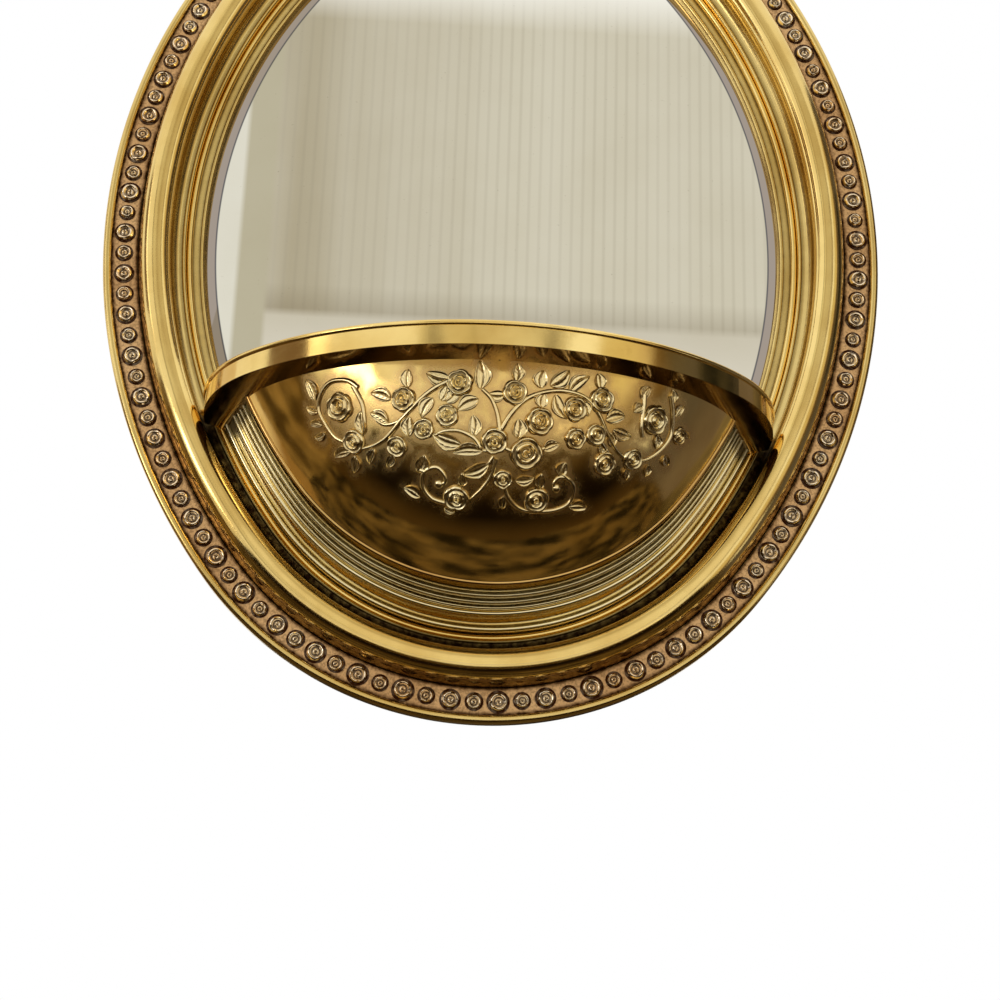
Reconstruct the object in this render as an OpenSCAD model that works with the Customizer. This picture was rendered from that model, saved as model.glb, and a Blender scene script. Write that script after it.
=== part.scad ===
// Oval wall mirror with a half-round shelf.
// A pressed oval moulding with a border of little roses is drawn over a wooden ring. It frames a
// bevelled glass, and a lipped shelf stands on a half bowl in front of the lower part of the glass.
// Upright, front towards -Y, +Z up. The origin is the middle of the keyhole that it hangs by,
// on the flat back of the wooden ring.

/* [Oval] */
// Overall width of the oval
oval_w = 280; // [260:1:320]
// Overall height of the oval
oval_h = 356; // [336:1:400]
// Radius of the top and bottom curves
end_r = 120; // [108:1:124]

/* [Pressed moulding] */
// Thickness of the pressed sheet
sheet_t = 0.8; // [0.5:0.1:1.2]
// Inset of the back edge from the widest line
back_inset = 3.4; // [2:0.1:3.6]
// Depth of the widest line above the back
widest_d = 11; // [6:0.5:12.5]
// Radius of the outer bead
bead_r = 1.5; // [1:0.1:2]
// Depth of the outer bead's middle
bead_d = 14; // [13.5:0.1:16]
// Width of the recessed border between bead and roll
border_w = 9.1; // [8.6:0.1:12]
// Depth of the border's bed
border_d = 13.3; // [12.8:0.1:14]
// Lean of the wall between border and roll
wall_lean = 1.6; // [0.8:0.1:2.5]
// Radius of the big roll
roll_r = 5.3; // [4.5:0.1:6]
// Depth of the big roll's middle
roll_d = 17.9; // [16.5:0.1:20]
// Radius of the hollow inside the roll
cove_r = 3.2; // [2:0.1:3.6]
// Depth of the floor inside the hollow
cove_floor_d = 12.2; // [11.2:0.1:13]
// Radius of the soft ridge at the inner edge
soft_ridge_r = 0.6; // [0.4:0.1:0.8]
// Flat left on each side of the soft ridge
soft_ridge_flat = 0.1; // [0.1:0.05:0.3]
// Clearance between the moulding and what it is pressed over
moulding_gap = 0.1; // [0.05:0.05:0.2]

/* [Rose border] */
// Thickness of the border strip
strip_t = 0.7; // [0.5:0.1:1]
// Gap between the strip and the walls beside it
strip_gap = 0.1; // [0.05:0.05:0.3]
// Number of roses, large and small in turn
rose_count = 120; // [100:2:124]
// Radius of a large rose
rose_large_r = 3.3; // [2.8:0.1:3.8]
// Radius of a small rose
rose_small_r = 2.5; // [2:0.1:3]
// Height of a rose above the strip
rose_h = 1.3; // [0.8:0.1:2]
// Height of a rose's outer side
rose_side_h = 0.3; // [0.2:0.1:0.5]
// Distance of the line of roses from the outer edge
rose_in = 7.4; // [7:0.1:8]
// Shift of the first large rose from the lowest point
rose_phase = 6.2; // [0:0.1:8]

/* [Inner slip] */
// Width of the slip that shows
slip_w = 6.7; // [6:0.1:8]
// Width of the flange under the moulding
slip_flange_w = 1.5; // [1:0.1:2]
// Radius of the outer ridge
ridge_a_r = 1; // [0.7:0.1:1.2]
// Radius of the inner ridge
ridge_b_r = 0.9; // [0.6:0.1:1]
// Depth of the outer ridge's middle
ridge_a_d = 10; // [9.8:0.1:10.6]
// Depth of the inner ridge's middle
ridge_b_d = 8; // [7.6:0.1:8.4]
// Depth of the channel between the ridges
slip_channel_d = 8.6; // [8.5:0.1:9]
// Depth of the slip's back, where the glass bears
slip_back_d = 6.6; // [6.2:0.1:7]
// Height of the sight edge
sight_t = 0.7; // [0.4:0.1:1]
// Width of the slope from the inner ridge down to the sight edge
sight_slope_w = 0.7; // [0.4:0.1:1]
// Width of the slip's bearing on the ring's inner side
slip_lap = 0.2; // [0.1:0.05:0.3]

/* [Wooden ring] */
// Inset of the ring's outer side from the widest line
core_inset = 4.2; // [4.2:0.1:6]
// Depth of the shoulder that carries the slip
shoulder_d = 8.4; // [8:0.1:8.4]
// Width of the ring's shoulder past the moulding
shoulder_w = 1.3; // [1:0.1:2]
// Chamfer of the ring's outer front edge
core_chamfer = 1; // [0.5:0.1:1.2]

/* [Glass and back] */
// Thickness of the glass
glass_t = 3; // [2:0.5:3]
// Width of the bevel
bevel_w = 8.3; // [6:0.1:10]
// Thickness of the glass at its edge
glass_edge_t = 1.8; // [1:0.1:2.4]
// Gap round the glass, card and board
glass_gap = 0.5; // [0.3:0.1:1]
// Play of the glass behind the slip
glass_play = 0.05; // [0.05:0.05:0.1]
// Thickness of the card behind the glass
card_t = 1; // [0.5:0.1:1.2]
// Gap between the board and the turn buttons
board_gap = 0.25; // [0.1:0.05:0.3]

/* [Turn buttons] */
// Number of turn buttons
button_count = 6; // [4:2:6]
// Distance from pivot to tip
button_reach = 13; // [11:0.5:15]
// Distance from pivot to tail
button_tail = 6; // [5:0.5:7]
// Radius of the tip's round end
button_tip_r = 4.5; // [3:0.5:5]
// Thickness of a button
button_t = 1; // [0.8:0.1:1.5]
// How far a tip laps onto the board
button_lap = 4; // [2:0.5:6]
// Radius of a pivot screw's shank
pivot_r = 1.6; // [1.2:0.1:2]
// Running clearance of a button on its screw
pivot_gap = 0.06; // [0.03:0.01:0.1]
// Side clearance of a button under its screw's head and over the wood
button_gap = 0.1; // [0.05:0.05:0.3]
// Radius of a pivot screw's head
pivot_head_r = 3.4; // [2.8:0.1:4]
// Height of a pivot screw's head
pivot_head_t = 1.1; // [0.6:0.1:1.6]
// Length of a pivot screw in the wood
pivot_bite = 9; // [6:0.5:10]
// Width of a pivot screw's slot
pivot_slot_w = 0.8; // [0.5:0.1:1]

/* [Hanger] */
// Distance of the keyhole's middle from the top edge
hanger_in = 19; // [17:0.5:20]
// Width of the hanger plate
hanger_w = 48; // [42:1:60]
// Height of the hanger plate
hanger_h = 19; // [17:0.5:21]
// Thickness of the hanger plate
hanger_t = 1.5; // [1:0.1:2]
// Radius of the keyhole's round opening
keyhole_r = 4.5; // [4:0.1:5.5]
// Width of the keyhole's slot
keyslot_w = 4.2; // [3:0.1:5]
// Travel from the round opening up to the top of the slot
keyslot_rise = 7; // [5:0.5:7.5]
// Depth of the pocket in the wood behind the keyhole
pocket_d = 7; // [4:0.5:8]
// Distance between the hanger's two screws
hanger_screw_pitch = 36; // [32:1:48]
// Radius of a hanger screw's shank
hanger_screw_r = 1.5; // [1:0.1:2]
// Radius of a hanger screw's head
hanger_screw_head_r = 2.8; // [2.4:0.1:3.4]
// Length of a hanger screw
hanger_screw_l = 10; // [6:0.5:11]
// Clearance of a hanger screw's head in its countersink
hanger_screw_gap = 0.05; // [0.05:0.05:0.1]
// Room round the keyhole in the pocket behind it
pocket_room = 1; // [0.5:0.5:2]

/* [Wall pads] */
// Radius of a wall pad
pad_r = 8; // [5:0.5:10]
// Thickness of a wall pad
pad_t = 3; // [2.5:0.5:5]
// Angle of the pads from the lowest point, seen from the middle
pad_a = 24; // [18:1:28]
// Distance of the pads from the outer edge
pad_in = 16; // [14:0.5:18]

/* [Shelf] */
// Distance of the shelf's underside below the oval's middle
shelf_drop = 77.5; // [60:0.5:90]
// Half width of the shelf
shelf_half_w = 98; // [94:0.5:100]
// Projection of the half-round past its straight sides
shelf_proj = 80.5; // [76:0.5:90]
// Radius of the shelf's side curves
shelf_side_r = 68; // [60:1:72]
// Depth at which the straight sides end
shelf_side_d = 17; // [14:0.5:24]
// Thickness of the shelf's sheet
shelf_t = 1.2; // [0.8:0.1:1.6]
// Height of the flat band round the shelf
band_h = 6.2; // [4:0.1:12]
// Height of the bead on top of the band
rim_bead_h = 1.8; // [1.2:0.1:1.9]
// How far the bead stands out past the band
rim_bead_out = 0.7; // [0.3:0.1:1.2]
// Gap between the shelf and the frame's mouldings
shelf_gap = 0.3; // [0.2:0.05:0.5]

/* [Bracket] */
// Distance of the bowl's lip from the oval's outer edge
lip_in = 41; // [40.5:0.1:46]
// Depth of the skirt's front edge, where the lip sits
skirt_d = 41.2; // [38:0.2:46]
// Thickness of the lip
lip_t = 1.6; // [1:0.1:2.2]
// Width of the lip
lip_w = 2; // [1.6:0.1:3]
// Depth of the bowl's foremost point
bowl_front_d = 85; // [76:0.5:90]
// Depth of the plane that the bowl is widest in
bowl_wide_d = 17; // [5:0.5:30]
// Thickness of the bowl's sheet
bowl_t = 1.2; // [0.8:0.1:2]
// Thickness of the skirt's foot
skirt_foot_w = 1.8; // [1.2:0.1:1.9]
// Radius of the skirt's two big noses
nose_r = 0.9; // [0.5:0.1:1.1]
// Radius of the skirt's three fine noses
fine_nose_r = 0.5; // [0.3:0.05:0.6]
// Clearance between the skirt's foot and the slip's outer ridge
skirt_gap = 0.2; // [0.1:0.1:0.4]
// Height of the skirt's upright foot
skirt_foot_h = 3; // [2:0.5:4]

/* [Hidden] */
$fn = 96;

// Four-centred oval: two end curves and two side curves that meet without a corner.
half_w = oval_w / 2;
half_h = oval_h / 2;
end_off = half_h - end_r;
side_off = (end_off * end_off / (half_w - end_r) - (half_w - end_r)) / 2;
side_r = half_w + side_off;
meet_a = atan2(end_off, side_off);

// Places across the moulding, as distances in from the widest line.
border_in = 2 * bead_r;
wall_in = border_in + border_w;
roll_in = wall_in + wall_lean + roll_r;
cove_in = roll_in + roll_r;
ridge_in = cove_in + cove_r;
moulding_in = ridge_in + 2 * (soft_ridge_r + soft_ridge_flat);
slip_in = moulding_in + moulding_gap;
sight_in = slip_in + slip_w;
ridge_a_in = slip_in + ridge_a_r;
channel_in = ridge_a_in + ridge_a_r;
ridge_b_in = sight_in - sight_slope_w - ridge_b_r;
channel_end_in = ridge_b_in - ridge_b_r;
core_step_in = cove_in - sheet_t - moulding_gap;
core_in = moulding_in + shoulder_w;
skirt_in = channel_in + skirt_gap;

// Depths of the glass stack, worked back from the slip's bearing.
bevel_in = core_in + glass_gap + bevel_w;
bevel_drop = (glass_t - glass_edge_t) * (bevel_in - sight_in) / bevel_w;
glass_front_d = slip_back_d + bevel_drop - glass_play;
glass_back_d = glass_front_d - glass_t;
card_back_d = glass_back_d - card_t;
big = 400;
eps = 0.01;
weld = 0.000001;

// The keyhole's middle, measured up from the oval's middle.
hang_z = half_h - hanger_in;

// Lays the oval's plane upright, with depth towards the viewer, and puts the keyhole at the origin.
module upright() {
    translate([0, 0, -hang_z]) rotate([90, 0, 0]) children();
}

// Spaces that hold one curve each. Both end on the line where the curves meet, which runs from
// seam_near to seam_far.
seam_near = [0, end_off] + end_r / 4 * [cos(meet_a), sin(meet_a)];
seam_far = [0, end_off] + 2 * big * [cos(meet_a), sin(meet_a)];
module side_wedge() {
    linear_extrude(4 * big, center = true) polygon([seam_near, [seam_near[0], -seam_near[1]],
        [seam_far[0], -seam_far[1]], seam_far]);
}

module end_wedge() {
    down = [0, -weld];
    linear_extrude(4 * big, center = true) polygon([seam_near + down, seam_far + down,
        [-seam_far[0], seam_far[1]] + down, [-seam_near[0], seam_near[1]] + down]);
}

// Carries a section round the oval. The section is drawn with X as the distance in from the
// widest line and Y as the depth.
module oval_sweep() {
    for (turn = [0, 180]) rotate(turn) {
        intersection() {
            translate([-side_off, 0]) rotate_extrude() translate([half_w + side_off, 0]) mirror([1, 0]) children();
            side_wedge();
        }
        intersection() {
            translate([0, end_off]) rotate_extrude() translate([end_r, 0]) mirror([1, 0]) children();
            end_wedge();
        }
    }
}

// Outline of the oval, drawn in by an inset.
module oval_outline(inset) {
    meet_y = (side_r - inset) * sin(meet_a);
    for (side = [-1, 1]) {
        translate([0, side * end_off]) circle(end_r - inset);
        intersection() {
            translate([-side * side_off, 0]) circle(side_r - inset);
            translate([side > 0 ? 0 : -half_w, -meet_y]) square([half_w, 2 * meet_y]);
        }
    }
}

// A flat oval sheet whose edge lies at one inset, between two depths.
module oval_sheet(inset, low, high) {
    translate([0, 0, low]) linear_extrude(high - low) oval_outline(inset);
}

// Point on the oval at one inset, by the length along it from the lowest point, towards +X.
function half_end_len(inset) = (end_r - inset) * (90 - meet_a) * PI / 180;
function side_len(inset) = (side_r - inset) * 2 * meet_a * PI / 180;
function oval_len(inset) = 4 * half_end_len(inset) + 2 * side_len(inset);
function arc_point(centre, r, a) = [centre[0] + r * cos(a), centre[1] + r * sin(a), a];
function oval_point(inset, run) =
    let(e = half_end_len(inset), s = side_len(inset), all = oval_len(inset), u = run - all * floor(run / all))
    u < e ? arc_point([0, -end_off], end_r - inset, -90 + u / (end_r - inset) * 180 / PI)
    : u < e + s ? arc_point([-side_off, 0], side_r - inset, -meet_a + (u - e) / (side_r - inset) * 180 / PI)
    : u < 3 * e + s ? arc_point([0, end_off], end_r - inset, meet_a + (u - e - s) / (end_r - inset) * 180 / PI)
    : u < 3 * e + 2 * s
        ? arc_point([side_off, 0], side_r - inset, 180 - meet_a + (u - 3 * e - s) / (side_r - inset) * 180 / PI)
    : arc_point([0, -end_off], end_r - inset, 180 + meet_a + (u - 3 * e - 2 * s) / (end_r - inset) * 180 / PI);

// Half ring of sheet, arched over its middle.
module arch(r) {
    difference() {
        circle(r);
        circle(r - sheet_t);
        translate([-2 * r, -2 * r]) square([4 * r, 2 * r]);
    }
}

// The pressed sheet: side, bead, bed, leaning wall, roll, hollow and soft ridge.
module moulding_section() {
    t = sheet_t;
    hollow_d = cove_floor_d + cove_r;
    polygon([[back_inset, 0], [0, widest_d], [0, bead_d], [t, bead_d], [t, widest_d], [back_inset + t, 0]]);
    translate([bead_r, bead_d]) arch(bead_r);
    polygon([[border_in - t, bead_d], [border_in, bead_d], [border_in, border_d], [wall_in, border_d],
        [wall_in + wall_lean, roll_d], [wall_in + wall_lean + t, roll_d], [wall_in + t, border_d - t],
        [border_in - t, border_d - t]]);
    translate([roll_in, roll_d]) arch(roll_r);
    translate([cove_in - t, hollow_d]) square([t, roll_d - hollow_d]);
    translate([ridge_in, hollow_d]) intersection() {
        difference() {
            circle(cove_r + t);
            circle(cove_r);
        }
        translate([-2 * cove_r, -2 * cove_r]) square(2 * cove_r);
    }
    translate([ridge_in, cove_floor_d - t]) square([moulding_in - ridge_in, t]);
    translate([ridge_in + soft_ridge_flat + soft_ridge_r, cove_floor_d - soft_ridge_r / 3]) circle(soft_ridge_r);
}

module core_ring() {
    color("burlywood") upright() difference() {
        oval_sweep() polygon([[core_inset, 0], [core_inset, widest_d - 2 * core_chamfer],
            [core_inset + core_chamfer, border_d - sheet_t], [core_step_in, border_d - sheet_t],
            [core_step_in, shoulder_d], [core_in, shoulder_d], [core_in, 0]]);
        for (i = [0 : button_count - 1]) at_pivot(i) pivot_hole(pivot_r);
        at_hanger() {
            translate([-hanger_w / 2, -hanger_h / 2, -eps]) cube([hanger_w, hanger_h, hanger_t + eps]);
            translate([-keyhole_r - pocket_room, -keyhole_r - pocket_room, 0])
                cube([2 * (keyhole_r + pocket_room), keyslot_rise + 2 * keyhole_r + pocket_room, pocket_d]);
            for (side = [-1, 1]) translate([side * hanger_screw_pitch / 2, 0, 0])
                cylinder(r = hanger_screw_r, h = hanger_screw_l);
        }
    }
}

module frame_moulding() {
    color("goldenrod") upright() oval_sweep() moulding_section();
}

// Low turned rose: a rim of petals round a hollow with a bud in the middle.
module rose(r) {
    rotate_extrude() polygon([[0, -strip_t / 2], [r, -strip_t / 2], [r, rose_side_h], [r * 0.88, rose_h * 0.8],
        [r * 0.72, rose_h], [r * 0.56, rose_h * 0.75], [r * 0.48, rose_h * 0.45], [r * 0.34, rose_h * 0.45],
        [r * 0.24, rose_h * 0.85], [0, rose_h]]);
}

module rose_border() {
    color("rosybrown") upright() {
        oval_sweep() translate([border_in + strip_gap, border_d])
            square([border_w - 2 * strip_gap, strip_t]);
        for (i = [0 : rose_count - 1]) {
            p = oval_point(rose_in, rose_phase + i * oval_len(rose_in) / rose_count);
            translate([p[0], p[1], border_d + strip_t]) rose(i % 2 == 0 ? rose_large_r : rose_small_r);
        }
    }
}

module inner_slip() {
    flange_in = slip_in - slip_flange_w;
    flange_d = cove_floor_d - sheet_t;
    step_in = core_in + slip_lap;
    color("gold") upright() oval_sweep() {
        polygon([[flange_in, shoulder_d], [flange_in, flange_d], [moulding_in, flange_d], [slip_in, ridge_a_d],
            [channel_in, ridge_a_d], [channel_in, slip_channel_d], [channel_end_in, slip_channel_d],
            [channel_end_in, ridge_b_d], [ridge_b_in + ridge_b_r, ridge_b_d], [sight_in, slip_back_d + sight_t],
            [sight_in, slip_back_d], [step_in, slip_back_d], [step_in, shoulder_d]]);
        translate([ridge_a_in, ridge_a_d]) circle(ridge_a_r);
        translate([ridge_b_in, ridge_b_d]) circle(ridge_b_r);
    }
}

module mirror_glass() {
    edge = core_in + glass_gap;
    color("lightsteelblue") upright() {
        oval_sweep() polygon([[edge, glass_back_d], [bevel_in + glass_t, glass_back_d],
            [bevel_in + glass_t, glass_front_d], [bevel_in, glass_front_d], [edge, glass_back_d + glass_edge_t]]);
        oval_sheet(bevel_in + glass_t / 2, glass_back_d, glass_front_d);
    }
}

module card_sheet() {
    color("tan") upright() oval_sheet(core_in + glass_gap, card_back_d, glass_back_d);
}

module backing_board() {
    color("sienna") upright() oval_sheet(core_in + glass_gap, board_gap, card_back_d);
}

// Turn buttons stand evenly round the back, each pointing at the board.
pivot_in = core_in - button_reach + button_lap;
module at_pivot(i) {
    p = oval_point(pivot_in, (i + 0.5) * oval_len(pivot_in) / button_count);
    translate([p[0], p[1], 0]) rotate(p[2] + 180) children();
}

module pivot_hole(r) {
    translate([0, 0, -pivot_bite]) cylinder(r = r, h = 2 * pivot_bite);
}

module turn_button(i) {
    if (i <= button_count) color("darkkhaki") upright() at_pivot(i - 1) difference() {
        translate([0, 0, -button_gap - button_t]) linear_extrude(button_t) {
            circle(button_tail);
            translate([0, -button_tip_r]) square([button_reach - button_tip_r, 2 * button_tip_r]);
            translate([button_reach - button_tip_r, 0]) circle(button_tip_r);
        }
        pivot_hole(pivot_r + pivot_gap);
    }
}

module pivot_screws() {
    color("silver") upright() for (i = [0 : button_count - 1]) at_pivot(i) {
        head_d = 2 * button_gap + button_t;
        translate([0, 0, -head_d]) cylinder(r = pivot_r, h = head_d + pivot_bite);
        translate([0, 0, -head_d - pivot_head_t]) difference() {
            cylinder(r = pivot_head_r, h = pivot_head_t);
            translate([-pivot_head_r, -pivot_slot_w / 2, -eps])
                cube([2 * pivot_head_r, pivot_slot_w, pivot_head_t / 2]);
        }
    }
}

module at_hanger() {
    translate([0, hang_z, 0]) children();
}

module hanger_plate() {
    color("silver") upright() at_hanger() difference() {
        translate([-hanger_w / 2, -hanger_h / 2, 0]) cube([hanger_w, hanger_h, hanger_t]);
        translate([0, 0, -eps]) cylinder(r = keyhole_r, h = hanger_t + 2 * eps);
        translate([-keyslot_w / 2, 0, -eps]) cube([keyslot_w, keyslot_rise, hanger_t + 2 * eps]);
        translate([0, keyslot_rise, -eps]) cylinder(r = keyslot_w / 2, h = hanger_t + 2 * eps);
        for (side = [-1, 1]) translate([side * hanger_screw_pitch / 2, 0, -eps])
            cylinder(r1 = hanger_screw_head_r + hanger_screw_gap, r2 = hanger_screw_r + hanger_screw_gap,
                h = hanger_t + 2 * eps);
    }
}

module hanger_screws() {
    color("gray") upright() at_hanger() for (side = [-1, 1])
        translate([side * hanger_screw_pitch / 2, 0, 0]) {
            cylinder(r = hanger_screw_r, h = hanger_screw_l);
            cylinder(r1 = hanger_screw_head_r, r2 = hanger_screw_r, h = hanger_t);
        }
}

module wall_pads() {
    color("dimgray") upright() for (side = [-1, 1]) {
        p = oval_point(pad_in, side * pad_a * PI / 180 * end_r);
        translate([p[0], p[1], -pad_t]) cylinder(r = pad_r, h = pad_t);
    }
}

// The shelf's plan is two straight sides, two side curves and a front curve that meet without a
// corner. Seen from above: X to the right, Y is the depth.
shelf_side_x = shelf_half_w - shelf_side_r;
shelf_front_off = (shelf_side_x * shelf_side_x / (shelf_proj - shelf_side_r) - (shelf_proj - shelf_side_r)) / 2;
shelf_front_r = shelf_proj + shelf_front_off;

// Spaces that hold one curve of the plan each, as round the oval.
shelf_seam_a = atan2(shelf_front_off, shelf_side_x);
shelf_near = [shelf_side_x, 0] + shelf_side_r / 4 * [cos(shelf_seam_a), sin(shelf_seam_a)];
shelf_far = [shelf_side_x, 0] + 2 * big * [cos(shelf_seam_a), sin(shelf_seam_a)];
module shelf_side_plan() {
    polygon([[shelf_near[0], -weld], [2 * big, -weld], shelf_far, shelf_near]);
}

module shelf_front_plan() {
    down = [0, -weld];
    polygon([shelf_near + down, shelf_far + down, [-shelf_far[0], shelf_far[1]] + down,
        [-shelf_near[0], shelf_near[1]] + down]);
}

// Carries a section round the shelf's edge. X in the section is the distance in from the edge,
// and Y is the height above the underside.
module shelf_sweep() {
    translate([0, shelf_side_d, 0]) {
        intersection() {
            translate([0, -shelf_front_off, 0]) rotate_extrude() translate([shelf_proj + shelf_front_off, 0])
                mirror([1, 0]) children();
            linear_extrude(4 * big, center = true) shelf_front_plan();
        }
        for (side = [0, 1]) mirror([side, 0, 0]) {
            intersection() {
                translate([shelf_side_x, 0, 0]) rotate_extrude() translate([shelf_side_r, 0]) mirror([1, 0]) children();
                linear_extrude(4 * big, center = true) shelf_side_plan();
            }
            translate([shelf_half_w, 0, 0]) rotate([90, 0, 0]) linear_extrude(shelf_side_d) mirror([1, 0]) children();
        }
    }
}

// The shelf's plan, drawn in from its edge.
module shelf_outline(inset) {
    translate([0, shelf_side_d]) {
        intersection() {
            translate([0, -shelf_front_off]) circle(shelf_front_r - inset);
            shelf_front_plan();
        }
        for (side = [0, 1]) mirror([side, 0]) intersection() {
            translate([shelf_side_x, 0]) circle(shelf_side_r - inset);
            square(big);
        }
        translate([inset - shelf_half_w, -shelf_side_d]) square([2 * (shelf_half_w - inset), shelf_side_d]);
    }
}

// Stands the shelf at its height, with its plan's depth towards the viewer.
module at_shelf() {
    translate([0, 0, -shelf_drop - hang_z]) mirror([0, 1, 0]) children();
}

// The space that the frame and the glass take up, with a gap round it.
module frame_room(gap) {
    floor_d = cove_floor_d + soft_ridge_r + gap;
    upright() {
        oval_sweep() {
            polygon([[-roll_in, -2 * roll_d], [-roll_in, roll_d + roll_r + gap], [roll_in, roll_d + roll_r + gap],
                [roll_in, -2 * roll_d]]);
            translate([roll_in, roll_d]) circle(roll_r + gap);
            polygon([[roll_in, -2 * roll_d], [roll_in, roll_d], [cove_in + gap, roll_d],
                [cove_in + gap, cove_floor_d + cove_r], [ridge_in + gap, floor_d], [moulding_in + gap, floor_d],
                [moulding_in + gap, ridge_a_d + ridge_a_r + gap], [channel_in + gap, ridge_a_d + ridge_a_r + gap],
                [channel_in + gap, ridge_b_d + ridge_b_r + gap], [sight_in + gap, ridge_b_d + ridge_b_r + gap],
                [sight_in + gap, -2 * roll_d]]);
        }
        oval_sheet(sight_in, -2 * roll_d, glass_front_d + gap);
    }
}

module shelf_tray() {
    color("goldenrod") difference() {
        at_shelf() {
            linear_extrude(shelf_t) shelf_outline(shelf_t / 2);
            shelf_sweep() square([shelf_t, band_h]);
        }
        frame_room(shelf_gap);
    }
}

module shelf_rim_bead() {
    rim_r = (rim_bead_out + shelf_t) / 2;
    color("gold") difference() {
        at_shelf() shelf_sweep() intersection() {
            translate([shelf_t - rim_r, band_h + rim_bead_h - rim_r]) circle(rim_r);
            translate([-rim_bead_out, band_h]) square([2 * rim_r, rim_bead_h]);
        }
        frame_room(shelf_gap);
    }
}

// Keeps what lies below the shelf's underside, in the oval's plane.
module below_shelf() {
    intersection() {
        children();
        translate([-big, -shelf_drop - big, -big]) cube([2 * big, big, 2 * big]);
    }
}

// Stepped skirt: two big noses, three fine ones and a hollow under the lip. Each step is given as
// shares of the way from the foot to the lip: across, where its nose starts, and where it ends.
steps = [[0, 0.03, 0.17, nose_r], [0.33, 0.42, 0.45, nose_r], [0.49, 0.45, 0.54, fine_nose_r],
    [0.6, 0.54, 0.65, fine_nose_r], [0.72, 0.65, 0.78, fine_nose_r]];
function on_skirt(across, up) =
    [skirt_in + across * (lip_in - skirt_in), slip_channel_d + up * (skirt_d - slip_channel_d)];
module skirt_section() {
    front = concat([on_skirt(0, 0)], [for (s = steps) each [on_skirt(s[0], s[1]), on_skirt(s[0], s[2])]],
        [on_skirt(0.84, 0.78), on_skirt(0.87, 0.9), on_skirt(0.94, 1), [lip_in + lip_w / 2, skirt_d]]);
    back = [on_skirt(0.94, 0.72), on_skirt(0.62, 0.4), on_skirt(0.34, 0.16),
        [skirt_in + skirt_foot_w, slip_channel_d + skirt_foot_h], [skirt_in + skirt_foot_w, slip_channel_d]];
    polygon(concat(front, back));
    for (s = steps) translate(on_skirt(s[0], s[2]) + [s[3], 0]) circle(s[3], $fn = 12);
}

module bracket_skirt() {
    color("darkgoldenrod") upright() below_shelf() oval_sweep() skirt_section();
}

module bracket_lip() {
    color("gold") upright() below_shelf() oval_sweep() {
        translate([lip_in - lip_w / 2 + lip_t / 2, skirt_d]) square([lip_w - lip_t / 2, lip_t]);
        translate([lip_in - lip_w / 2 + lip_t / 2, skirt_d + lip_t / 2]) circle(lip_t / 2, $fn = 12);
    }
}

// Half bowl: the lip's outline drawn in towards the front by a quarter ellipse.
bowl_back_d = skirt_d + lip_t;
bowl_slices = 14;
module bowl_body(t) {
    reach = bowl_front_d - bowl_wide_d;
    back_a = asin((bowl_back_d - bowl_wide_d) / reach);
    full = cos(back_a);
    hull() for (i = [0 : bowl_slices]) {
        a = back_a + (90 - back_a) * i / bowl_slices;
        k = max(cos(a) / full, 0.02);
        d = bowl_wide_d + reach * sin(a) - (i == bowl_slices ? t : 0);
        translate([0, -shelf_drop, min(d, bowl_front_d - t) - (i == 0 && t > 0 ? 1 : 0)]) scale([k, k, 1])
            translate([0, shelf_drop, 0]) linear_extrude(eps) intersection() {
                oval_outline(lip_in + t);
                translate([-big, -shelf_drop - big]) square([2 * big, big + (t > 0 ? 1 : 0)]);
            }
    }
}

module bracket_bowl() {
    color("goldenrod") upright() difference() {
        bowl_body(0);
        bowl_body(bowl_t);
    }
}

core_ring();
frame_moulding();
rose_border();
inner_slip();
mirror_glass();
card_sheet();
backing_board();
turn_button(1);  // turn_button_1
turn_button(2);  // turn_button_2
turn_button(3);  // turn_button_3
turn_button(4);  // turn_button_4
turn_button(5);  // turn_button_5
turn_button(6);  // turn_button_6
pivot_screws();
hanger_plate();
hanger_screws();
wall_pads();
shelf_tray();
shelf_rim_bead();
bracket_skirt();
bracket_lip();
bracket_bowl();
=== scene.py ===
# Oval wall mirror with a half-round shelf: the looks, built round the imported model.
import math
import bmesh
import bpy
import numpy as np
from mathutils import Matrix, Vector
from mathutils.kdtree import KDTree


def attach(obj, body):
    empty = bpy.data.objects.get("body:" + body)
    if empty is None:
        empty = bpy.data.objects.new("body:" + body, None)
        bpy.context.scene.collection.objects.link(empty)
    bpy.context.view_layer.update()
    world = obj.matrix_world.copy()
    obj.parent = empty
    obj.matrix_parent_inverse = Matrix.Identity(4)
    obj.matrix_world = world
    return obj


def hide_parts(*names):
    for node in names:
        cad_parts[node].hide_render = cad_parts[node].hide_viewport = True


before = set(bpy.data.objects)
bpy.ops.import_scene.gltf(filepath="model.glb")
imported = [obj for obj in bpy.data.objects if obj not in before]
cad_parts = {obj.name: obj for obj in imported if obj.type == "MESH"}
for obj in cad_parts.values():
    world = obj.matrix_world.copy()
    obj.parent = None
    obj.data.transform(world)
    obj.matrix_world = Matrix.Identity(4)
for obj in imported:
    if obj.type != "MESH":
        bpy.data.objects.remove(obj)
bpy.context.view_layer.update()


# Sizes in millimetres, as in the model
MM = 0.001
HANG = 159.0            # keyhole above the oval's middle
END_R, END_OFF = 120.0, 58.0
SIDE_R, SIDE_OFF = 214.1, 74.1
MEET = math.atan2(END_OFF, SIDE_OFF)
SHELF_Y = -77.5         # shelf's underside below the oval's middle
BEVEL_IN = 38.95        # line of the glass's bevel, in from the oval's widest line
SKIRT_IN, FOOT_D = 31.2, 8.6
LIP_IN, SKIRT_D, LIP_T = 41.0, 41.2, 1.6
BOWL_D0, BOWL_REACH, BOWL_SHEET = 17.0, 68.0, 1.2
BOWL_BACK_A = math.asin((SKIRT_D + LIP_T - BOWL_D0) / BOWL_REACH)
ROSE_COUNT, ROSE_IN, ROSE_SHIFT, BED_D = 120, 7.4, 6.2, 14.0

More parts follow.
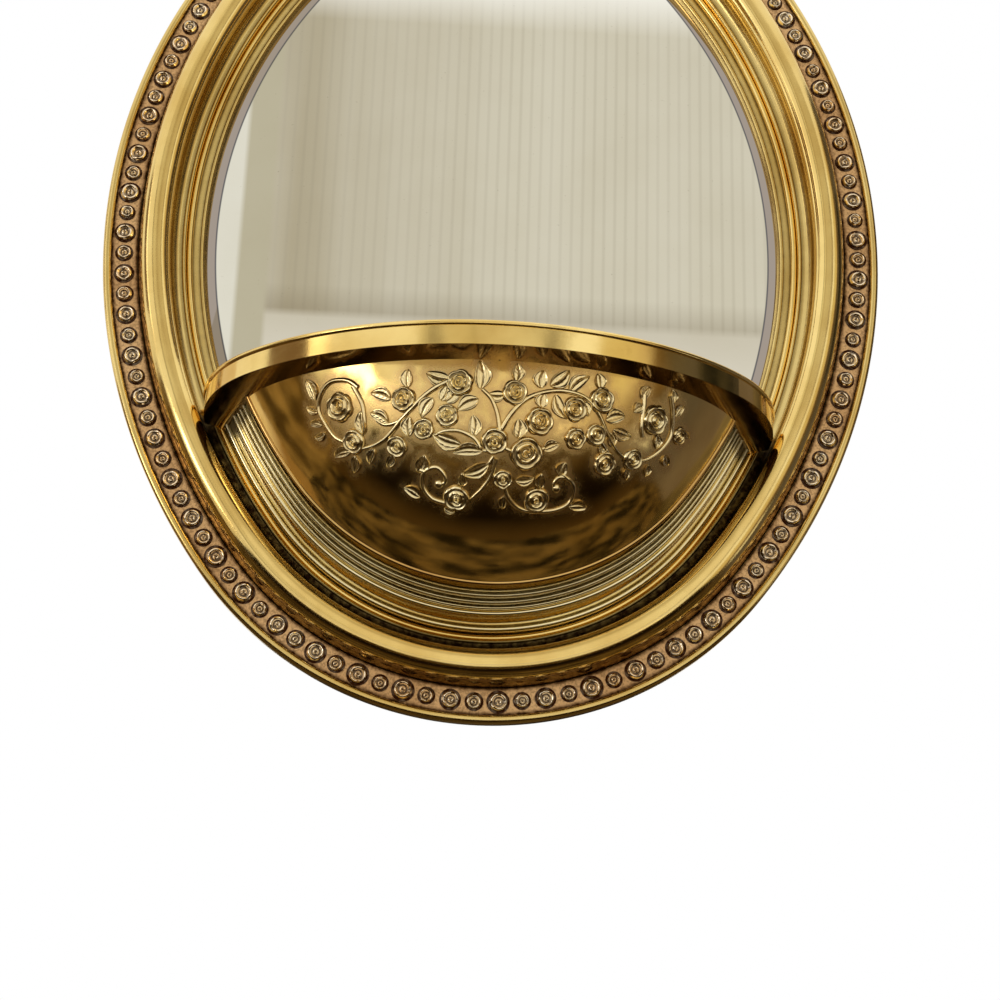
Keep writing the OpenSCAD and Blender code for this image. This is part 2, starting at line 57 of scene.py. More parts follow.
# Steps round the oval, along the sides and the end of its lower part, and over the bowl
SWEEP_STEPS, SIDE_STEPS, END_STEPS, BOWL_ROWS = 420, 90, 120, 90


def place(x, y, d):
    """Flat coordinates (across, up from the oval's middle, depth to the front) to the row frame."""
    x, y, d = np.broadcast_arrays(np.asarray(x, float), np.asarray(y, float), np.asarray(d, float))
    return np.stack([x, -d, y - HANG], -1) * MM


# Helpers for objects and node trees
def link(name, data):
    thing = bpy.data.objects.new(name, data)
    bpy.context.scene.collection.objects.link(thing)
    return thing


def raw_piece(name, verts, faces=(), edges=(), grime=None):
    """An object with a plain mesh, and the share of patina and painted shade at each point where it has
    any.
    """
    mesh = bpy.data.meshes.new(name)
    mesh.from_pydata(np.asarray(verts, float).tolist(), edges, faces)
    if grime is not None:
        layer = mesh.attributes.new("grime", "FLOAT", "POINT").data
        layer.foreach_set("value", np.asarray(grime, np.float32))
    return link(name, mesh)


def add(tree, kind, **settings):
    node = tree.nodes.new(kind)
    for key, value in settings.items():
        setattr(node, key, value)
    return node


def join(tree, source, target):
    """Joins a source to a socket, or sets the socket to a plain value."""
    if hasattr(source, "links"):
        tree.links.new(source, target)
    else:
        target.default_value = source


def feed(tree, node, **sources):
    """Joins or sets a node's inputs by their names, in which a low line stands for a space."""
    for label, source in sources.items():
        join(tree, source, node.inputs[label.replace("_", " ")])
    return node


def step(tree, kind, **sources):
    return feed(tree, tree.nodes.new(kind), **sources)


def new_material(name):
    """A material, its tree and shader, and the coordinates that its patterns read."""
    material = bpy.data.materials.new(name)
    material.use_nodes = True
    tree = material.node_tree
    tree.nodes.clear()
    shader = tree.nodes.new("ShaderNodeBsdfPrincipled")
    step(tree, "ShaderNodeOutputMaterial", Surface=shader.outputs[0])
    return material, tree, shader, tree.nodes.new("ShaderNodeTexCoord").outputs["Object"]


def colour(r, g, b):
    """sRGB 0-255 to the linear values that the sockets take."""
    shares = (r / 255, g / 255, b / 255)
    return (*(c / 12.92 if c <= 0.04045 else ((c + 0.055) / 1.055) ** 2.4 for c in shares), 1)


def mix(tree, factor, low, high):
    """One colour turned into another by a share. A plain colour is given in sRGB 0-255."""
    node = add(tree, "ShaderNodeMix", data_type="RGBA")
    join(tree, factor, node.inputs[0])
    for tone, socket in ((low, node.inputs[6]), (high, node.inputs[7])):
        join(tree, colour(*tone) if isinstance(tone, tuple) else tone, socket)
    return node.outputs[2]


def maths(tree, operation, *values, clamp=False):
    node = add(tree, "ShaderNodeMath", operation=operation, use_clamp=clamp)
    for value, socket in zip(values, node.inputs):
        join(tree, value, socket)
    return node.outputs[0]


def plus(tree, a, b, clamp=False):
    return maths(tree, "ADD", a, b, clamp=clamp)


def times(tree, a, b, clamp=False):
    return maths(tree, "MULTIPLY", a, b, clamp=clamp)


def spread(tree, value, low, high, to_low=0.0, to_high=1.0):
    node = add(tree, "ShaderNodeMapRange", clamp=True)
    for number, socket in zip((value, low, high, to_low, to_high), node.inputs):
        join(tree, number, socket)
    return node.outputs[0]


def noise(tree, coord, scale, detail=3.0, rough=0.5, stretch=None):
    if stretch:
        coord = step(tree, "ShaderNodeMapping", Vector=coord, Scale=stretch).outputs[0]
    node = step(tree, "ShaderNodeTexNoise", Vector=coord, Scale=scale, Detail=detail, Roughness=rough)
    return node.outputs[0]


def axes(tree, coord):
    return step(tree, "ShaderNodeSeparateXYZ", Vector=coord).outputs


def bump(tree, shader, height, strength, distance):
    node = step(tree, "ShaderNodeBump", Strength=strength, Distance=distance, Height=height)
    join(tree, node.outputs[0], shader.inputs["Normal"])


# Camera, at the photograph's angle
CAM = Vector((-20.8, -571.4, -437.2)) * MM
YAW, PITCH, ROLL = math.radians(2.62), math.radians(17.71), math.radians(1.84)
FOCAL, PHOTO_WIDTH = 1700.0, 1000.0     # both in the photograph's pixels
SENSOR = 36.0


def set_camera():
    ahead = Vector((math.sin(YAW) * math.cos(PITCH), math.cos(YAW) * math.cos(PITCH), math.sin(PITCH)))
    side = Vector((math.cos(YAW), -math.sin(YAW), 0))
    up = side.cross(ahead)
    side, up = math.cos(ROLL) * side + math.sin(ROLL) * up, -math.sin(ROLL) * side + math.cos(ROLL) * up
    data = bpy.data.cameras.new("camera")
    data.sensor_width = SENSOR
    data.lens = SENSOR * FOCAL / PHOTO_WIDTH
    data.clip_start = 0.01
    camera = link("camera", data)
    camera.matrix_world = Matrix.Translation(CAM) @ Matrix((side, up, -ahead)).transposed().to_4x4()
    bpy.context.scene.camera = camera


set_camera()

# Finishes
# Base colour of the painted shade on the shelf's underside
UNDERSIDE_SHADE = (150, 120, 62)


def brass(name, bright=(250, 220, 142), worn=(228, 192, 112), tarnish_and_shade=(70, 50, 18), gloss=0.06, groove=0.0,
          wave=0.3, stipple=0.0, stain=0.0, ragged=(0.45, 1.25), under=None):
    """Polished pressed brass: a warm metal with cloudy wear and shallow dents. With a groove share, brown
    patina, and on some pieces painted shade, lies where the piece's share of patina and painted shade says
    so. Below the height under, the base colour is a darker painted shade."""
    material, tree, shader, coord = new_material(name)
    clouds = noise(tree, coord, 28.0, 4.0, 0.55)
    blotch = noise(tree, coord, 130.0, 3.0, 0.6)
    fine = noise(tree, coord, 2600.0, 2.0)
    base = mix(tree, spread(tree, clouds, 0.38, 0.68), bright, worn)
    base = mix(tree, spread(tree, blotch, 0.6, 0.78, 0.0, 0.45), base, worn)
    rough = spread(tree, blotch, 0.3, 0.75, gloss, gloss + 0.08)
    rough = plus(tree, rough, spread(tree, fine, 0.3, 0.8, 0.0, 0.05))
    # The share read here holds patina, and on the moulding's cove and the skirt's top also painted shade
    # below the shelf
    if groove:
        grime = add(tree, "ShaderNodeAttribute", attribute_name="grime").outputs["Fac"]
        patchy = spread(tree, noise(tree, coord, 420.0, 4.0, 0.65), 0.3, 0.7, *ragged)
        darkening = times(tree, grime, patchy, clamp=True)
        base = mix(tree, times(tree, darkening, groove, clamp=True), base, tarnish_and_shade)
        rough = plus(tree, rough, times(tree, darkening, 0.3), clamp=True)
    dents = plus(tree, noise(tree, coord, 34.0, 2.0, 0.4), times(tree, fine, 0.012))
    if stipple:
        grain = noise(tree, coord, 1250.0, 2.0, 0.6)
        dents = plus(tree, dents, times(tree, grain, stipple))
        base = mix(tree, spread(tree, grain, 0.38, 0.55, stain, 0.0), base, tarnish_and_shade)
    # Painted shade: below the height under, the base turns to a darker colour
    if under is not None:
        height = axes(tree, coord)[2]
        below = spread(tree, height, (under + 0.05) * MM, (under + 0.15) * MM, 1.0, 0.0)
        base = mix(tree, below, base, UNDERSIDE_SHADE)
    feed(tree, shader, Base_Color=base, Metallic=1.0, Roughness=rough)
    bump(tree, shader, dents, wave, 0.0016)
    return material


def wood(name):
    """Pale wood with long grain, rings that show as bands, and dark pores."""
    material, tree, shader, coord = new_material(name)
    grain = noise(tree, coord, 60.0, 6.0, 0.6, (1.0, 1.0, 0.07))
    rings = noise(tree, coord, 9.0, 3.0, 0.5, (1.0, 1.0, 0.16))
    pores = noise(tree, coord, 900.0, 2.0, 0.5, (1.0, 1.0, 0.05))
    lines = maths(tree, "FRACT", times(tree, rings, 9.0))
    lines = times(tree, spread(tree, lines, 0.0, 0.75), spread(tree, lines, 0.75, 1.0, 1.0, 0.0))
    mixed = plus(tree, times(tree, grain, 0.55), times(tree, lines, 0.28))
    base = mix(tree, spread(tree, mixed, 0.22, 0.56), (168, 128, 84), (118, 82, 48))
    base = mix(tree, spread(tree, pores, 0.6, 0.72, 0.0, 0.65), base, (86, 58, 32))
    feed(tree, shader, Base_Color=base, Roughness=spread(tree, grain, 0.3, 0.7, 0.5, 0.68))
    bump(tree, shader, pores, 0.25, 0.0002)
    return material


def board_face(name):
    """Hardboard: brown pressed fibre with a faint fleck and a dull sheen."""
    material, tree, shader, coord = new_material(name)
    fibre = noise(tree, coord, 700.0, 5.0, 0.7)
    patch = noise(tree, coord, 14.0)
    base = mix(tree, spread(tree, patch, 0.35, 0.7), (122, 86, 56), (104, 72, 46))
    base = mix(tree, spread(tree, fibre, 0.5, 0.72, 0.0, 0.6), base, (152, 116, 82))
    feed(tree, shader, Base_Color=base, Roughness=0.62)
    bump(tree, shader, fibre, 0.3, 0.0002)
    return material


def plain_steel(name, tone=(176, 174, 168), gloss=0.34):
    material, tree, shader, coord = new_material(name)
    streak = noise(tree, coord, 260.0, 3.0, 0.6, (0.2, 1.0, 1.0))
    spots = noise(tree, coord, 180.0, 4.0, 0.6)
    base = mix(tree, spread(tree, streak, 0.3, 0.7), tone, tuple(int(c * 0.82) for c in tone))
    base = mix(tree, spread(tree, spots, 0.68, 0.8, 0.0, 0.6), base, (112, 88, 64))
    rough = spread(tree, spots, 0.3, 0.8, gloss, gloss + 0.2)
    feed(tree, shader, Base_Color=base, Metallic=1.0, Roughness=rough)
    bump(tree, shader, streak, 0.08, 0.0002)
    return material


def felt(name):
    material, tree, shader, coord = new_material(name)
    nap = noise(tree, coord, 1500.0, 4.0, 0.7)
    base = mix(tree, spread(tree, nap, 0.3, 0.7), (64, 60, 54), (104, 98, 90))
    feed(tree, shader, Base_Color=base, Roughness=0.95, Sheen_Weight=0.4)
    bump(tree, shader, nap, 0.6, 0.0004)
    return material


def card(name):
    material, tree, shader, coord = new_material(name)
    pulp = noise(tree, coord, 420.0, 5.0, 0.7)
    base = mix(tree, spread(tree, pulp, 0.3, 0.7), (176, 160, 132), (198, 184, 158))
    feed(tree, shader, Base_Color=base, Roughness=0.85)
    bump(tree, shader, pulp, 0.2, 0.0002)
    return material


def glass_inset(tree, coord):
    """How far each point of the glass lies in from the oval's widest line, in metres."""
    across, _, up = axes(tree, coord)
    wide = maths(tree, "ABSOLUTE", across)
    high = maths(tree, "ABSOLUTE", plus(tree, up, HANG * MM))

    def inside(off_x, off_z, radius):
        dx = plus(tree, wide, off_x * MM)
        dz = maths(tree, "SUBTRACT", high, off_z * MM)
        reach = maths(tree, "SQRT", plus(tree, times(tree, dx, dx), times(tree, dz, dz)))
        return maths(tree, "SUBTRACT", radius * MM, reach)

    slant = maths(tree, "DIVIDE", high, plus(tree, wide, SIDE_OFF * MM))
    on_side = maths(tree, "LESS_THAN", slant, END_OFF / SIDE_OFF)
    on_end = maths(tree, "SUBTRACT", 1.0, on_side)
    by_side, by_end = inside(SIDE_OFF, 0, SIDE_R), inside(0, END_OFF, END_R)
    return plus(tree, times(tree, on_side, by_side), times(tree, on_end, by_end))


def looking_glass(name):
    """Silvered glass: a clear mirror with a faint warm tint, a little haze of age and a bevelled edge, with
    a painted reflection on the bevel: a darker band and a dark line where it meets the flat glass.
    """
    material, tree, shader, coord = new_material(name)
    age = noise(tree, coord, 22.0, 5.0, 0.6)
    specks = noise(tree, coord, 900.0, 2.0)
    base = mix(tree, spread(tree, age, 0.4, 0.75), (247, 246, 240), (242, 240, 232))
    base = mix(tree, spread(tree, specks, 0.72, 0.8, 0.0, 0.25), base, (150, 144, 130))
    # Painted reflection: a darker band on the bevel, and a dark line where the bevel meets the flat glass
    edge = glass_inset(tree, coord)
    off_line = maths(tree, "ABSOLUTE", maths(tree, "SUBTRACT", edge, BEVEL_IN * MM))
    inner = spread(tree, edge, (BEVEL_IN - 0.05) * MM, (BEVEL_IN + 0.05) * MM)
    base = mix(tree, inner, (160, 148, 136), base)
    base = mix(tree, spread(tree, off_line, 0.12 * MM, 0.42 * MM, 0.85, 0.0), base, (62, 64, 74))
    rough = spread(tree, age, 0.3, 0.8, 0.004, 0.02)
    feed(tree, shader, Base_Color=base, Metallic=1.0, Roughness=rough, Coat_Weight=0.3, Coat_Roughness=0.02)
    return material


# Finishes by CAD node, and of the border's ground, the vine and the turn buttons
FINISH = {
    "core_ring": wood("ring_wood"),
    # The moulding's tarnish colour also paints the shade in its cove below the shelf
    "frame_moulding": brass("moulding_brass_aged", tarnish_and_shade=(32, 18, 8), groove=1.0, ragged=(0.88, 1.05)),
    "rose_border": brass("border_rose_brass", (255, 238, 208), (248, 218, 176), (52, 24, 8), gloss=0.08,
                         groove=1.0, wave=0.2, ragged=(0.85, 1.1)),
    "border_ground": brass("border_ground", (224, 182, 130), (200, 156, 106), (70, 38, 12), gloss=0.36,
                           groove=1.0, wave=0.6, stipple=0.14, stain=0.42),
    "inner_slip": brass("slip_brass_aged", groove=0.8, ragged=(0.8, 1.05)),
    "mirror_glass": looking_glass("mirror_glass_finish"),
    "card_sheet": card("card_finish"),
    "backing_board": board_face("board_finish"),
    "turn_button": brass("button_brass", (206, 170, 98), (164, 122, 62), gloss=0.3),
    "pivot_screws": plain_steel("screw_steel"),
    "hanger_plate": plain_steel("hanger_steel", (166, 164, 160), 0.38),
    "hanger_screws": plain_steel("hanger_screw_steel"),
    "wall_pads": felt("pad_felt"),
    # The shelf tray's underside gets a painted shade
    "shelf_tray": brass("shelf_brass", under=SHELF_Y - HANG),
    "shelf_rim_bead": brass("bead_brass"),
    # The skirt's tarnish colour also paints the shelf's shadow on its top
    "bracket_skirt": brass("skirt_brass_aged", (250, 237, 194), (236, 217, 166), (50, 37, 18), groove=0.68,
                           ragged=(0.7, 1.05)),
    "bracket_lip": brass("lip_brass_aged", (222, 184, 114), (192, 148, 84), (56, 36, 14), groove=0.8),
    "bracket_bowl": brass("bowl_brass_aged", tarnish_and_shade=(214, 172, 116), groove=0.7, gloss=0.04),
    "rose_vine": brass("vine_brass", (255, 236, 184), (244, 214, 150), (80, 54, 24), gloss=0.1, groove=0.85,
                       wave=0.15),
}
for name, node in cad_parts.items():
    node.data.materials.clear()
    node.data.materials.append(FINISH.get(name, FINISH["turn_button"]))


# Meshes
def arc(cx, cy, r, start, end, steps):
    a = np.radians(np.linspace(start, end, steps + 1))
    return list(zip(cx + r * np.cos(a), cy + r * np.sin(a)))


def grid(rows, cols, wrap_rows=False, wrap_cols=False, first=0, flip=False):
    r = np.arange(rows if wrap_rows else rows - 1)[:, None]
    c = np.arange(cols if wrap_cols else cols - 1)[None, :]
    r2, c2 = (r + 1) % rows, (c + 1) % cols
    quads = np.stack(np.broadcast_arrays(r * cols + c, r2 * cols + c, r2 * cols + c2, r * cols + c2), -1)
    quads = quads.reshape(-1, 4) + first
    return (quads[:, ::-1] if flip else quads).tolist()


def capped_tube(rows, around, first, start, end):
    """Faces of rings of points, closed by a fan to one point at each end."""
    last = first + (rows - 1) * around
    faces = grid(rows, around, wrap_cols=True, first=first)
    faces += [(start, first + i, first + (i + 1) % around) for i in range(around)]
    faces += [(end, last + (i + 1) % around, last + i) for i in range(around)]
    return faces


def shell_faces(rows, cols):
    """Faces of two sheets of points, one behind the other, closed round their edge."""
    count = rows * cols
    rim = list(range(cols)) + [r * cols + cols - 1 for r in range(1, rows)]
    rim += [(rows - 1) * cols + c for c in range(cols - 2, -1, -1)]
    rim += [r * cols for r in range(rows - 2, 0, -1)]
    walls = [(a, b, b + count, a + count) for a, b in zip(rim, rim[1:] + rim[:1])]
    return grid(rows, cols) + grid(rows, cols, first=count, flip=True) + walls


def finish_piece(piece, finish, slot_name, *stands_for, crease=38.0):
    """Turns the faces outwards, shades and coats them, hides the model's parts that it stands for and hangs
    it on the mirror's body; slot_name is not used.
    """
    mesh = piece.data
    work = bmesh.new()
    work.from_mesh(mesh)
    if work.calc_volume(signed=True) < 0:
        bmesh.ops.reverse_faces(work, faces=work.faces)
    work.to_mesh(mesh)
    work.free()
    mesh.shade_smooth()
    mesh.set_sharp_from_angle(angle=math.radians(crease))
    mesh.materials.clear()
    mesh.materials.append(finish)
    if stands_for:
        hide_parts(*stands_for)
    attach(piece, "mirror")


# Sweeps right round the oval, as a node tree
def oval_ring(inset):
    """The oval at one inset: a function of the way along it from its lowest point, and its length."""
    r_end, r_side = END_R - inset, SIDE_R - inset
    e, s = (math.pi / 2 - MEET) * r_end, 2 * MEET * r_side
    whole = 4 * e + 2 * s
    arcs = [(0, -END_OFF, r_end, -math.pi / 2, 0), (-SIDE_OFF, 0, r_side, -MEET, e),
            (0, END_OFF, r_end, MEET, e + s), (SIDE_OFF, 0, r_side, math.pi - MEET, 3 * e + s),
            (0, -END_OFF, r_end, math.pi + MEET, whole - e)]

    def at(u):
        u %= whole
        cx, cy, r, turn, begin = [part for part in arcs if part[-1] <= u][-1]
        a = turn + (u - begin) / r
        return cx + r * math.cos(a), cy + r * math.sin(a)

    return at, whole


def closed_line(name, points, grime=None):
    edges = [(i, (i + 1) % len(points)) for i in range(len(points))]
    return raw_piece(name, points, edges=edges, grime=grime)


def tree_with(name, sockets):
    tree = bpy.data.node_groups.new(name, "GeometryNodeTree")
    for label, kind in [("Geometry", "NodeSocketGeometry")] + sockets:
        tree.interface.new_socket(label, in_out="INPUT", socket_type=kind)
    tree.interface.new_socket("Geometry", in_out="OUTPUT", socket_type="NodeSocketGeometry")
    return tree, tree.nodes.new("NodeGroupInput").outputs


def end_tree(tree, flat, finish):
    """Turns flat geometry upright, puts the keyhole at the origin, makes it real and coats it."""
    hung = step(tree, "GeometryNodeTransform", Geometry=flat, Rotation=(math.pi / 2, 0, 0),
                Translation=(0, 0, -HANG * MM))
    real = step(tree, "GeometryNodeRealizeInstances", Geometry=hung.outputs[0])
    paint = step(tree, "GeometryNodeSetMaterial", Geometry=real.outputs[0], Material=finish)
    step(tree, "NodeGroupOutput", Geometry=paint.outputs[0])


def sweep_tree():
    tree, given = tree_with("sweep_round_the_oval", [
        ("Section", "NodeSocketObject"), ("Section Size", "NodeSocketFloat"),
        ("Finish", "NodeSocketMaterial")])
    path = step(tree, "GeometryNodeMeshToCurve", Mesh=given["Geometry"])
    level = step(tree, "GeometryNodeSetCurveNormal", Curve=path.outputs[0])
    level.mode = "Z_UP"
    info = step(tree, "GeometryNodeObjectInfo", Object=given["Section"])
    section = step(tree, "GeometryNodeMeshToCurve", Mesh=info.outputs["Geometry"])
    size = step(tree, "GeometryNodeTransform", Geometry=section.outputs[0], Scale=given["Section Size"])
    sweep = step(tree, "GeometryNodeCurveToMesh", Curve=level.outputs[0], Profile_Curve=size.outputs[0])
    end_tree(tree, sweep.outputs[0], given["Finish"])
    return tree


def apply_tree(piece, tree, **inputs):
    """Runs a node tree on a piece and keeps the plain mesh that it makes."""
    modifier = piece.modifiers.new(tree.name, "NODES")
    modifier.node_group = tree
    labels = {item.name: item.identifier for item in tree.interface.items_tree if item.in_out == "INPUT"}
    for label, value in inputs.items():
        modifier[labels[label.replace("_", " ")]] = value
    bpy.context.view_layer.update()
    mesh = bpy.data.meshes.new_from_object(piece.evaluated_get(bpy.context.evaluated_depsgraph_get()))
    piece.modifiers.clear()
    old, piece.data = piece.data, mesh
    bpy.data.meshes.remove(old)
    mesh.name = piece.name


def refine(section, longest=0.8):
    """Adds points along a section's straight runs, so that patina can fade along them."""
    out = []
    for (x0, y0), (x1, y1) in zip(section, section[1:] + section[:1]):
        n = max(1, int(math.hypot(x1 - x0, y1 - y0) / longest))
        out += [(x0 + (x1 - x0) * i / n, y0 + (y1 - y0) * i / n) for i in range(n)]
    return out


def corner_grime(section, reach=0.9):
    """Patina at each point of a section: most in the inside corners, fading out over a short reach."""
    p = np.array(section)
    a, b = p - np.roll(p, 1, 0), np.roll(p, -1, 0) - p
    turn = a[:, 0] * b[:, 1] - a[:, 1] * b[:, 0]
    turn /= np.linalg.norm(a, axis=1) * np.linalg.norm(b, axis=1) + 1e-9
    gap = np.linalg.norm(p[:, None] - p[None], axis=2)
    return np.clip((np.clip(turn, 0, 1)[None] * np.exp(-(gap / reach) ** 2)).max(1), 0, 1)


def edge_grime(section, reach=0.8):
    """Patina along both edges of a flat strip."""
    inset = np.array(section)[:, 0]
    return np.exp(-(np.minimum(inset - inset.min(), inset.max() - inset) / reach) ** 2)


SWEEP = sweep_tree()


def sweep_round(name, section, finish, slot_name, node, longest=0.8, grime_of=corner_grime):
    section = refine(section, longest)
    at, whole = oval_ring(0.0)
    path = [at(whole * i / SWEEP_STEPS) for i in range(SWEEP_STEPS)]
    piece = closed_line(name, [(x * MM, y * MM, 0) for x, y in path])
    outline = closed_line(name + "_section", [(-x * MM, -d * MM, 0) for x, d in section], grime_of(section))
    apply_tree(piece, SWEEP, Section=outline, Section_Size=1.0, Finish=finish)
    bpy.data.objects.remove(outline)
    finish_piece(piece, finish, slot_name, node)
    return piece


# Sections of the mouldings, as inset from the oval's widest line and depth to the front
ROLL = [(19 + 5.3 * t, 17.9 + 5.3 * (1 - t ** 2.8) ** (1 / 2.8))
        for t in np.sin(np.radians(np.linspace(5, 90, 20)))]
MOULDING = ([(3.4, 0), (0, 11)] + arc(1.5, 14, 1.5, 180, 0, 14) + [(3, 13.3), (12.1, 13.3)]
            + arc(19, 17.9, 5.3, 180, 90, 22) + ROLL + arc(27.5, 15.4, 3.2, 180, 270, 14)
            + arc(28.2, 12.0, 0.63, 150, 30, 8) + [(28.9, 11.4)]
            + arc(27.5, 15.4, 4.0, 270, 180, 8) + arc(19, 17.9, 4.5, 0, 180, 16)
            + [(12.9, 12.5), (2.2, 12.5)] + arc(1.5, 14, 0.7, 0, 180, 8) + [(0.8, 11), (4.2, 0)])
SLIP = ([(27.5, 8.4), (27.5, 11.4), (28.9, 11.4)] + arc(30, 10, 1.0, 180, 0, 14) + [(31, 8.6), (33.43, 8.6)]
        + arc(34.1, 8, 0.9, 138, 0, 12) + [(35.7, 7.3), (35.7, 6.6), (30.4, 6.6), (30.4, 8.4)])
BED = [(3.1, 13.3), (3.1, 13.9), (3.35, BED_D), (11.75, BED_D), (12, 13.9), (12, 13.3)]


def inset_of(x, y):
    """Distance in from the widest line of the oval."""
    wide, high = np.abs(x), np.abs(y)
    on_side = high * SIDE_OFF < END_OFF * (wide + SIDE_OFF)
    by_side, by_end = SIDE_R - np.hypot(wide + SIDE_OFF, high), END_R - np.hypot(wide, high - END_OFF)
    return np.where(on_side, by_side, by_end)


def add_patina_and_shade(piece, share_of):
    """Raises a piece's share of patina and painted shade to share_of inset, depth and height over the
    shelf's underside.
    """
    count = len(piece.data.vertices)
    spots, old = np.empty(count * 3), np.empty(count)
    piece.data.vertices.foreach_get("co", spots)
    layer = piece.data.attributes["grime"].data
    layer.foreach_get("value", old)
    x, y, z = spots.reshape(-1, 3).T / MM
    share = share_of(inset_of(x, z + HANG), -y, z + HANG - SHELF_Y)
    layer.foreach_set("value", np.maximum(old, share).astype(np.float32))


def cove_patina_and_shelf_shade(inset, depth, above):
    """Patina share in the cove: thin everywhere, and raised to a thick painted shade below the shelf, where
    the skirt stands in front of the cove.
    """
    under = np.clip((6 - above) / 4, 0, 1)
    inside = np.clip(1 - ((inset - 26.1) / (2.1 + 0.5 * under)) ** 6, 0, 1)
    return inside * (depth < 16.6 + 0.6 * under) * (depth > 11.5) * (0.3 + 0.7 * under)


# Painted shadow of the shelf on the skirt, strongest in the top few millimetres below the shelf
def shelf_shadow_on_skirt(inset, depth, above):
    return 0.95 * np.clip((6.5 + above) / 4, 0, 1)


moulding = sweep_round("pressed_moulding", MOULDING, FINISH["frame_moulding"], "moulding_brass",
                       "frame_moulding")
# Painted shade in the moulding's cove below the shelf, on top of its patina
add_patina_and_shade(moulding, cove_patina_and_shelf_shade)
sweep_round("ridged_slip", SLIP, FINISH["inner_slip"], "slip_brass", "inner_slip")


# The border of roses
def bump_at(t, centre, width):
    return np.exp(-((t - centre) / width) ** 2)


# A unit rose's rings of points, and the heights of the ring round it and of its foot
ROSE_RADII = (0.07, 0.14, 0.22, 0.3, 0.38, 0.46, 0.54, 0.62, 0.7, 0.78, 0.86, 0.93, 1.14, 1.17)
RING_HEIGHT, ROSE_FOOT = 0.17, -0.3


def petal_rose(name, around):
    """Unit rose: a bud with an eye in a round rim of petals, with a dark ring round its foot."""
    turn = np.arange(around) * 2 * math.pi / around
    cut = np.maximum(bump_at(turn, 2.2, 0.3), bump_at(turn, 5.0, 0.26))
    verts, shade = [(0, 0, 0.3)], [1.0]
    for radius in ROSE_RADII:
        off = radius + 0.06 * np.sin(turn)
        rim = bump_at(off, 0.71, 0.2) * (1 - 0.55 * cut)
        h = 0.14 + 0.58 * bump_at(off, 0.2, 0.13) + 0.86 * rim
        darkening = 1.1 * bump_at(radius, 0, 0.1) + 1.1 * bump_at(off, 0.41, 0.095)
        darkening = darkening + 0.75 * cut * bump_at(off, 0.68, 0.2)
        if radius > 0.9:
            h = np.full(around, RING_HEIGHT if radius < ROSE_RADII[-1] else ROSE_FOOT)
            darkening = np.ones(around)
        verts += list(zip(radius * np.cos(turn), radius * np.sin(turn), h))
        shade += list(np.clip(darkening, 0, 1))
    verts.append((0, 0, ROSE_FOOT))
    shade.append(1)
    faces = capped_tube(len(ROSE_RADII), around, 1, 0, len(verts) - 1)
    return raw_piece(name, verts, faces, grime=shade)


def rose_tree():
    tree, given = tree_with("roses_along_the_border", [
        ("Large Rose", "NodeSocketObject"), ("Small Rose", "NodeSocketObject"),
        ("Large Radius", "NodeSocketFloat"), ("Small Radius", "NodeSocketFloat"),
        ("Rose Height", "NodeSocketFloat"), ("Seed", "NodeSocketInt"), ("Finish", "NodeSocketMaterial")])
    odd = maths(tree, "MODULO", tree.nodes.new("GeometryNodeInputIndex").outputs[0], 2.0)
    both = tree.nodes.new("GeometryNodeJoinGeometry")
    for label, test in (("Large", "LESS_THAN"), ("Small", "GREATER_THAN")):
        info = step(tree, "GeometryNodeObjectInfo", Object=given[label + " Rose"])
        turn = add(tree, "FunctionNodeRandomValue", data_type="FLOAT_VECTOR")
        turn.inputs[0].default_value = (-0.035, -0.035, 0.0)
        turn.inputs[1].default_value = (0.035, 0.035, 6.283)
        vary = tree.nodes.new("FunctionNodeRandomValue")
        vary.inputs[2].default_value = 0.94
        vary.inputs[3].default_value = 1.05
        for draw in (turn, vary):
            join(tree, given["Seed"], draw.inputs["Seed"])
        wide = times(tree, given[label + " Radius"], vary.outputs[1])
        size = step(tree, "ShaderNodeCombineXYZ", X=wide, Y=wide, Z=given["Rose Height"])
        put = step(tree, "GeometryNodeInstanceOnPoints", Points=given["Geometry"],
                   Selection=maths(tree, test, odd, 0.5), Instance=info.outputs["Geometry"],
                   Rotation=turn.outputs[0], Scale=size.outputs[0])
        join(tree, put.outputs[0], both.inputs[0])
    end_tree(tree, both.outputs[0], given["Finish"])
    return tree


def border_roses():
    """Large and small roses in turn along the border."""
    large, small = petal_rose("large_rose", 26), petal_rose("small_rose", 18)
    at, whole = oval_ring(ROSE_IN)
    spots = [at(ROSE_SHIFT + i * whole / ROSE_COUNT) for i in range(ROSE_COUNT)]
    roses = raw_piece("border_roses", [(x * MM, y * MM, BED_D * MM) for x, y in spots])
    apply_tree(roses, rose_tree(), Large_Rose=large, Small_Rose=small, Large_Radius=3.35 * MM,
               Small_Radius=2.7 * MM, Rose_Height=1.4 * MM, Seed=7, Finish=FINISH["rose_border"])
    for maker in (large, small):
        bpy.data.objects.remove(maker)
    finish_piece(roses, FINISH["rose_border"], "border_brass", "rose_border", crease=60)


border_roses()
sweep_round("border_bed", BED, FINISH["border_ground"], "border_brass", "rose_border", 0.4, edge_grime)


# The stepped skirt and the lip
def low_path(inset):
    """Across and up of the oval at one inset, below the shelf's underside, from right to left."""
    r_side, r_end = SIDE_R - inset, END_R - inset
    top = math.asin(SHELF_Y / r_side)
    right = np.linspace(top, -MEET, SIDE_STEPS, endpoint=False)
    bottom = np.linspace(-MEET, MEET - math.pi, END_STEPS, endpoint=False)
    left = np.linspace(MEET - math.pi, -math.pi - top, SIDE_STEPS + 1)
    x = [r_side * np.cos(right) - SIDE_OFF, r_end * np.cos(bottom), r_side * np.cos(left) + SIDE_OFF]
    y = [r_side * np.sin(right), r_end * np.sin(bottom) - END_OFF, r_side * np.sin(left)]
    return np.concatenate(x), np.concatenate(y)


